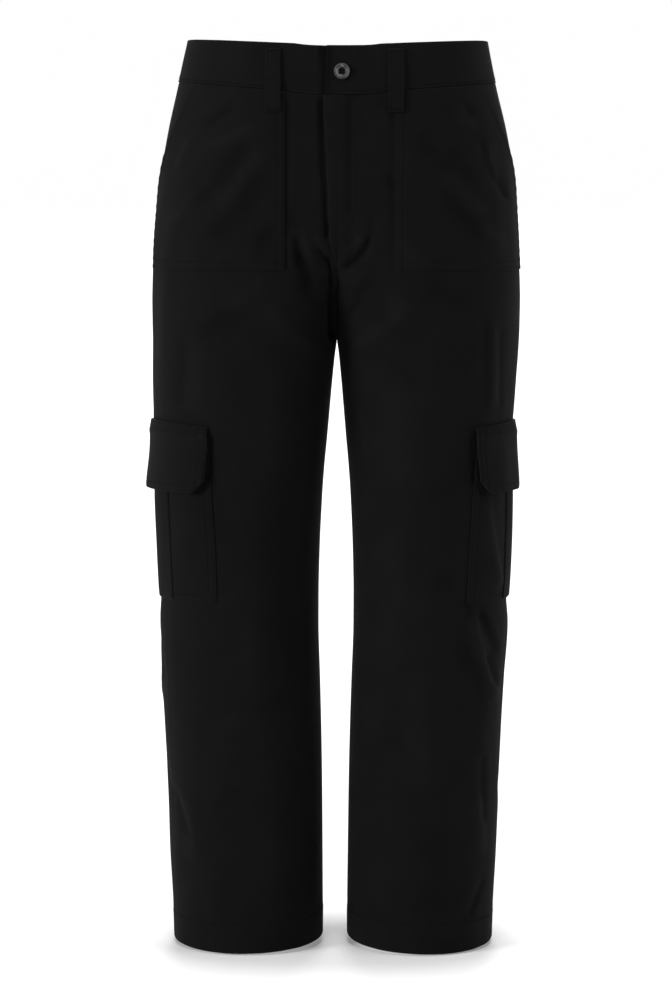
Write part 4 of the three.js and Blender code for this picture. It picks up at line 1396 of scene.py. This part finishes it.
def twill_material():
    """Black cotton twill: fine slanting ribs, uneven dye, a soft sheen and slightly worn edges, with
    painted shade in crease troughs and beside the waistband's lap, and painted highlight on crease
    ridges.
    """
    name = "black_twill"
    if name in bpy.data.materials:
        return bpy.data.materials[name]
    values = settings().cloth
    material, tree, shader = material_nodes(name)
    weave = add_node(tree, "ShaderNodeUVMap", {"uv_map": "weave"}).outputs["UV"]
    place = add_node(tree, "ShaderNodeTexCoord").outputs["Object"]
    yarn = noise(tree, weave, TWILL["yarn"], 2.0)
    wobble = arithmetic(tree, "MULTIPLY", yarn, TWILL["wobble"])
    ribs = sine_lines(tree, weave, TWILL["lean"], values.rib_pitch, wobble)
    fleck = noise(tree, weave, TWILL["fleck"], 3.0)
    sources = {"blotches": noise(tree, place, TWILL["blotch"], 4.0, Roughness=0.6), "flecks": fleck}
    # The wear, and the painted shade and highlight from the creases and the waistband's lap.
    for key in ("wear", "painted_shade_and_swing"):
        sources[key] = add_node(tree, "ShaderNodeAttribute", {"attribute_name": key}).outputs["Fac"]
    shade = arithmetic(tree, "MULTIPLY", ribs, TWILL["ribs"])
    for key, source in sources.items():
        shade = arithmetic(tree, "ADD", shade, arithmetic(tree, "MULTIPLY", source, TWILL[key]))
    shade = arithmetic(tree, "ADD", shade, TWILL["base"])
    tint(tree, shader, shade, values.colour, TWILL["tints"])
    rough = scaled(tree, fleck, TWILL["rough_flecks"], TWILL["rough"])
    tree.links.new(rough, shader.inputs["Roughness"])
    yarn_height = arithmetic(tree, "MULTIPLY", yarn, TWILL["yarn_height"])
    emboss(tree, shader, arithmetic(tree, "ADD", ribs, yarn_height), 0.35, 0.12 * MM)
    sheen = {"Sheen Weight": values.sheen, "Sheen Roughness": 0.45}
    set_inputs(shader, {"Specular IOR Level": 0.04, **sheen})
    return material


def thread_material(name):
    """Black sewing thread, a little smoother than the cloth. Close tacks are made lighter."""
    if name in bpy.data.materials:
        return bpy.data.materials[name]
    material, tree, shader = material_nodes(name)
    place = add_node(tree, "ShaderNodeTexCoord").outputs["Object"]
    ply = noise(tree, place, 1500.0, 2.0)
    # Close tacks are made lighter than the other stitches.
    tack_lightness = 1.0 if name == "black_thread" else settings().thread.tack
    tint(tree, shader, ply, [tack_lightness * c for c in settings().thread.colour], (0.7, 1.4))
    emboss(tree, shader, ply, 0.3, 0.05 * MM)
    set_inputs(shader, {"Roughness": 0.6, "Specular IOR Level": 0.05})
    return material


def metal_material(name):
    """Gunmetal, worn lighter in places. Its darker copy paints shade into the sunk middle."""
    material, tree, shader = material_nodes(name)
    # The sunk middle's copy is darkened, as painted shade.
    depth = settings().button.middle if name.startswith("dark") else 1.0
    place = add_node(tree, "ShaderNodeTexCoord").outputs["Object"]
    cloudy = noise(tree, place, 260.0, 4.0, Roughness=0.65)
    base = [depth * c for c in settings().button.colour]
    tint(tree, shader, cloudy, base, (0.6, 1.25), (0.3, 0.72))
    tree.links.new(scaled(tree, cloudy, 0.25, 0.28), shader.inputs["Roughness"])
    emboss(tree, shader, cloudy, 0.15, 0.05 * MM)
    set_inputs(shader, {"Metallic": 1.0})
    return material


def floor_material():
    """A plain, pale, matt floor."""
    material, _, shader = material_nodes("pale_floor")
    colour = (*settings().stage.floor_colour, 1)
    set_inputs(shader, {"Base Color": colour, "Roughness": 0.9, "Specular IOR Level": 0.1})
    return material


FLOOR_RADIUS = 150.0
FLOOR_GAP = 0.4 * MM
CAMERA_X = -0.4 * MM
# Where each light comes from, its strength and its angular width
LIGHTS = {
    "left_light": {"from": (-1.0, -0.62, 0.25), "power": 3.0, "width": math.radians(24)},
    "right_light": {"from": (1.0, -0.14, 0.2), "power": 1.4, "width": math.radians(40)},
    "back_light": {"from": (0.04, 1.0, 0.25), "power": 2.4, "width": math.radians(24)},
    "overhead_light": {"from": (0, 0.055, 1), "power": 1.25, "width": math.radians(8)},
    "front_light": {"from": (0, -0.5, 1), "power": 0.9, "width": math.radians(20)},
}


def make_stage():
    """A pale floor, a white surround, soft lights and the camera."""
    values = settings().stage
    bpy.ops.object.select_all(action="DESELECT")
    bpy.ops.mesh.primitive_circle_add(
        vertices=96, radius=FLOOR_RADIUS, fill_type="NGON", location=(0, 0, HEM_Z - FLOOR_GAP)
    )
    floor = bpy.context.object
    floor.name = "floor"
    bpy.ops.object.transform_apply(location=True)
    floor.data.materials.append(floor_material())
    make_surround(values)
    for name, light in LIGHTS.items():
        data = bpy.data.lights.new(name, "SUN")
        data.angle = light["width"]
        data.energy = values.light * light["power"]
        lamp = bpy.data.objects.new(name, data)
        lamp.rotation_euler = Vector(light["from"]).to_track_quat("Z", "Y").to_euler()
        bpy.context.collection.objects.link(lamp)
    make_camera(values)
    bpy.context.scene.view_settings.view_transform = "Standard"
    return floor


def make_surround(values):
    """A white surround, which gives less light than it shows, as a studio's far walls do."""
    world = bpy.data.worlds.new("studio")
    world.use_nodes = True
    tree = world.node_tree
    background = tree.nodes["Background"]
    background.inputs["Color"].default_value = (1, 1, 1, 1)
    seen = add_node(tree, "ShaderNodeLightPath").outputs["Is Camera Ray"]
    extra = arithmetic(tree, "MULTIPLY", seen, values.backdrop - values.surround)
    tree.links.new(arithmetic(tree, "ADD", extra, values.surround), background.inputs["Strength"])
    bpy.context.scene.world = world


def make_camera(values):
    """The camera at the photograph's place."""
    data = bpy.data.cameras.new("camera")
    data.sensor_width = 36
    data.lens = values.lens
    camera = bpy.data.objects.new("camera", data)
    upright = Matrix.Rotation(math.pi / 2 - values.tilt, 4, "X")
    place = Matrix.Translation((CAMERA_X, -values.distance, values.height))
    camera.matrix_world = place @ upright @ Matrix.Rotation(values.roll, 4, "Z")
    bpy.context.collection.objects.link(camera)
    bpy.context.scene.camera = camera


class ClothSettings(bpy.types.PropertyGroup):
    """The cloth."""

    thickness: FloatProperty(
        name="Thickness", description="Thickness of one layer of cloth", default=1.2 * MM, unit="LENGTH"
    )
    spacing: FloatProperty(
        name="Mesh spacing", description="Distance between the points of the cloth", default=3.6 * MM,
        unit="LENGTH",
    )
    crease_strength: FloatProperty(
        name="Creases", description="How strong the creases are", default=1.0, subtype="FACTOR"
    )
    rib_pitch: FloatProperty(
        name="Rib pitch", description="Distance between the twill's ribs", default=0.9 * MM, unit="LENGTH"
    )
    sheen: FloatProperty(
        name="Sheen", description="Strength of the soft sheen", default=0.014, subtype="FACTOR"
    )
    colour: FloatVectorProperty(
        name="Colour", description="Colour of the cloth", default=(0.0030, 0.0030, 0.0031),
        subtype="COLOR",
    )


class ThreadSettings(bpy.types.PropertyGroup):
    """The sewing thread."""

    diameter: FloatProperty(
        name="Diameter", description="Diameter of the thread", default=0.5 * MM, unit="LENGTH"
    )
    stitch: FloatProperty(
        name="Stitch", description="Length of a stitch", default=2.9 * MM, unit="LENGTH"
    )
    gap: FloatProperty(name="Gap", description="Gap between stitches", default=0.5 * MM, unit="LENGTH")
    colour: FloatVectorProperty(
        name="Colour", description="Colour of the thread", default=(0.0021, 0.0021, 0.0021),
        subtype="COLOR",
    )
    tack: FloatProperty(
        name="Tacks", description="How much lighter the close tacks are", default=4.0, subtype="FACTOR"
    )


class ButtonSettings(bpy.types.PropertyGroup):
    """The button."""

    colour: FloatVectorProperty(
        name="Colour", description="Colour of the button", default=(0.11, 0.11, 0.114), subtype="COLOR"
    )
    # How far the painted shade darkens the sunk middle of the button.
    middle: FloatProperty(
        name="Middle", description="How bright the sunk middle is, next to the rim", default=0.12,
        subtype="FACTOR",
    )


class StageSettings(bpy.types.PropertyGroup):
    """The floor, lights and camera."""

    floor_colour: FloatVectorProperty(
        name="Floor", description="Colour of the floor", default=(0.93, 0.93, 0.93), subtype="COLOR"
    )
    backdrop: FloatProperty(name="Backdrop", description="Brightness of the white behind", default=0.995)
    surround: FloatProperty(name="Surround", description="Light from all round", default=0.3)
    light: FloatProperty(
        name="Lights", description="Strength of all the lights", default=1.0, subtype="FACTOR"
    )
    lens: FloatProperty(name="Lens", description="Focal length of the camera", default=126.04)
    distance: FloatProperty(
        name="Distance", description="Distance of the camera in front", default=3.6, unit="LENGTH"
    )
    height: FloatProperty(
        name="Height", description="Height of the camera from the waist", default=-0.152, unit="LENGTH"
    )
    tilt: FloatProperty(
        name="Tilt", description="How far the camera looks down", default=math.radians(5.05),
        subtype="ANGLE",
    )
    roll: FloatProperty(
        name="Roll", description="Turn of the camera on its own axis", default=math.radians(0.2),
        subtype="ANGLE",
    )


class PantsSettings(bpy.types.PropertyGroup):
    """All the values of the cargo pants."""

    cloth: PointerProperty(type=ClothSettings)
    thread: PointerProperty(type=ThreadSettings)
    button: PointerProperty(type=ButtonSettings)
    stage: PointerProperty(type=StageSettings)


class MakePanels(bpy.types.Operator):
    """Make the two fronts and the two backs"""

    bl_idname = "cargo_pants.panels"
    bl_label = "Fronts and backs"

    def execute(self, context):
        for side in (-1, 1):
            for face in (1, -1):
                make_panel(side, face)
        return {"FINISHED"}


class MakeWaistband(bpy.types.Operator):
    """Make the waistband, with its stitching and buttonhole"""

    bl_idname = "cargo_pants.waistband"
    bl_label = "Waistband"

    def execute(self, context):
        make_waistband()
        return {"FINISHED"}


class MakeFrontPockets(bpy.types.Operator):
    """Make the two front patch pockets"""

    bl_idname = "cargo_pants.front_pockets"
    bl_label = "Front pockets"

    def execute(self, context):
        for side in (-1, 1):
            make_front_pocket(side)
        return {"FINISHED"}


class MakeCargoPockets(bpy.types.Operator):
    """Make the cargo pockets, with their pleats"""

    bl_idname = "cargo_pants.cargo_pockets"
    bl_label = "Cargo pockets"

    def execute(self, context):
        for side in (-1, 1):
            make_cargo_pocket(side)
            make_cargo_pleat(side)
        return {"FINISHED"}


class MakeCargoFlaps(bpy.types.Operator):
    """Make the flaps over the cargo pockets"""

    bl_idname = "cargo_pants.cargo_flaps"
    bl_label = "Cargo flaps"

    def execute(self, context):
        for side in (-1, 1):
            make_cargo_flap(side)
        return {"FINISHED"}


class MakeBeltLoops(bpy.types.Operator):
    """Make the five belt loops"""

    bl_idname = "cargo_pants.belt_loops"
    bl_label = "Belt loops"

    def execute(self, context):
        for node, loop in LOOPS.items():
            make_belt_loop(node, loop["side"], loop["face"], loop["x"])
        return {"FINISHED"}


class MakeButton(bpy.types.Operator):
    """Make the button and sew it on"""

    bl_idname = "cargo_pants.button"
    bl_label = "Button"

    def execute(self, context):
        make_button()
        return {"FINISHED"}


class MakeStage(bpy.types.Operator):
    """Make the floor, lights and camera"""

    bl_idname = "cargo_pants.stage"
    bl_label = "Stage"

    def execute(self, context):
        make_stage()
        return {"FINISHED"}


OPERATORS = (
    MakePanels, MakeWaistband, MakeFrontPockets, MakeCargoPockets, MakeCargoFlaps, MakeBeltLoops,
    MakeButton, MakeStage,
)


class PantsPanel(bpy.types.Panel):
    """The sidebar panel of the cargo pants."""

    bl_idname = "VIEW3D_PT_cargo_pants"
    bl_label = "Cargo pants"
    bl_space_type = "VIEW_3D"
    bl_region_type = "UI"
    bl_category = "Cargo pants"

    def draw(self, context):
        values = context.scene.cargo_pants
        for group in (values.cloth, values.thread, values.button, values.stage):
            box = self.layout.box()
            for name in group.__annotations__:
                box.prop(group, name)
        for operator in OPERATORS:
            self.layout.operator(operator.bl_idname)


CLASSES = (
    ClothSettings, ThreadSettings, ButtonSettings, StageSettings, PantsSettings, *OPERATORS, PantsPanel,
)


def register():
    for each in CLASSES:
        bpy.utils.register_class(each)
    bpy.types.Scene.cargo_pants = PointerProperty(type=PantsSettings)


def unregister():
    del bpy.types.Scene.cargo_pants
    for each in reversed(CLASSES):
        bpy.utils.unregister_class(each)


def main():
    register()
    bpy.ops.cargo_pants.stage()
    bpy.ops.cargo_pants.panels()
    bpy.ops.cargo_pants.waistband()
    bpy.ops.cargo_pants.front_pockets()
    bpy.ops.cargo_pants.cargo_pockets()
    bpy.ops.cargo_pants.cargo_flaps()
    bpy.ops.cargo_pants.belt_loops()
    bpy.ops.cargo_pants.button()


if __name__ == "__main__":
    main()
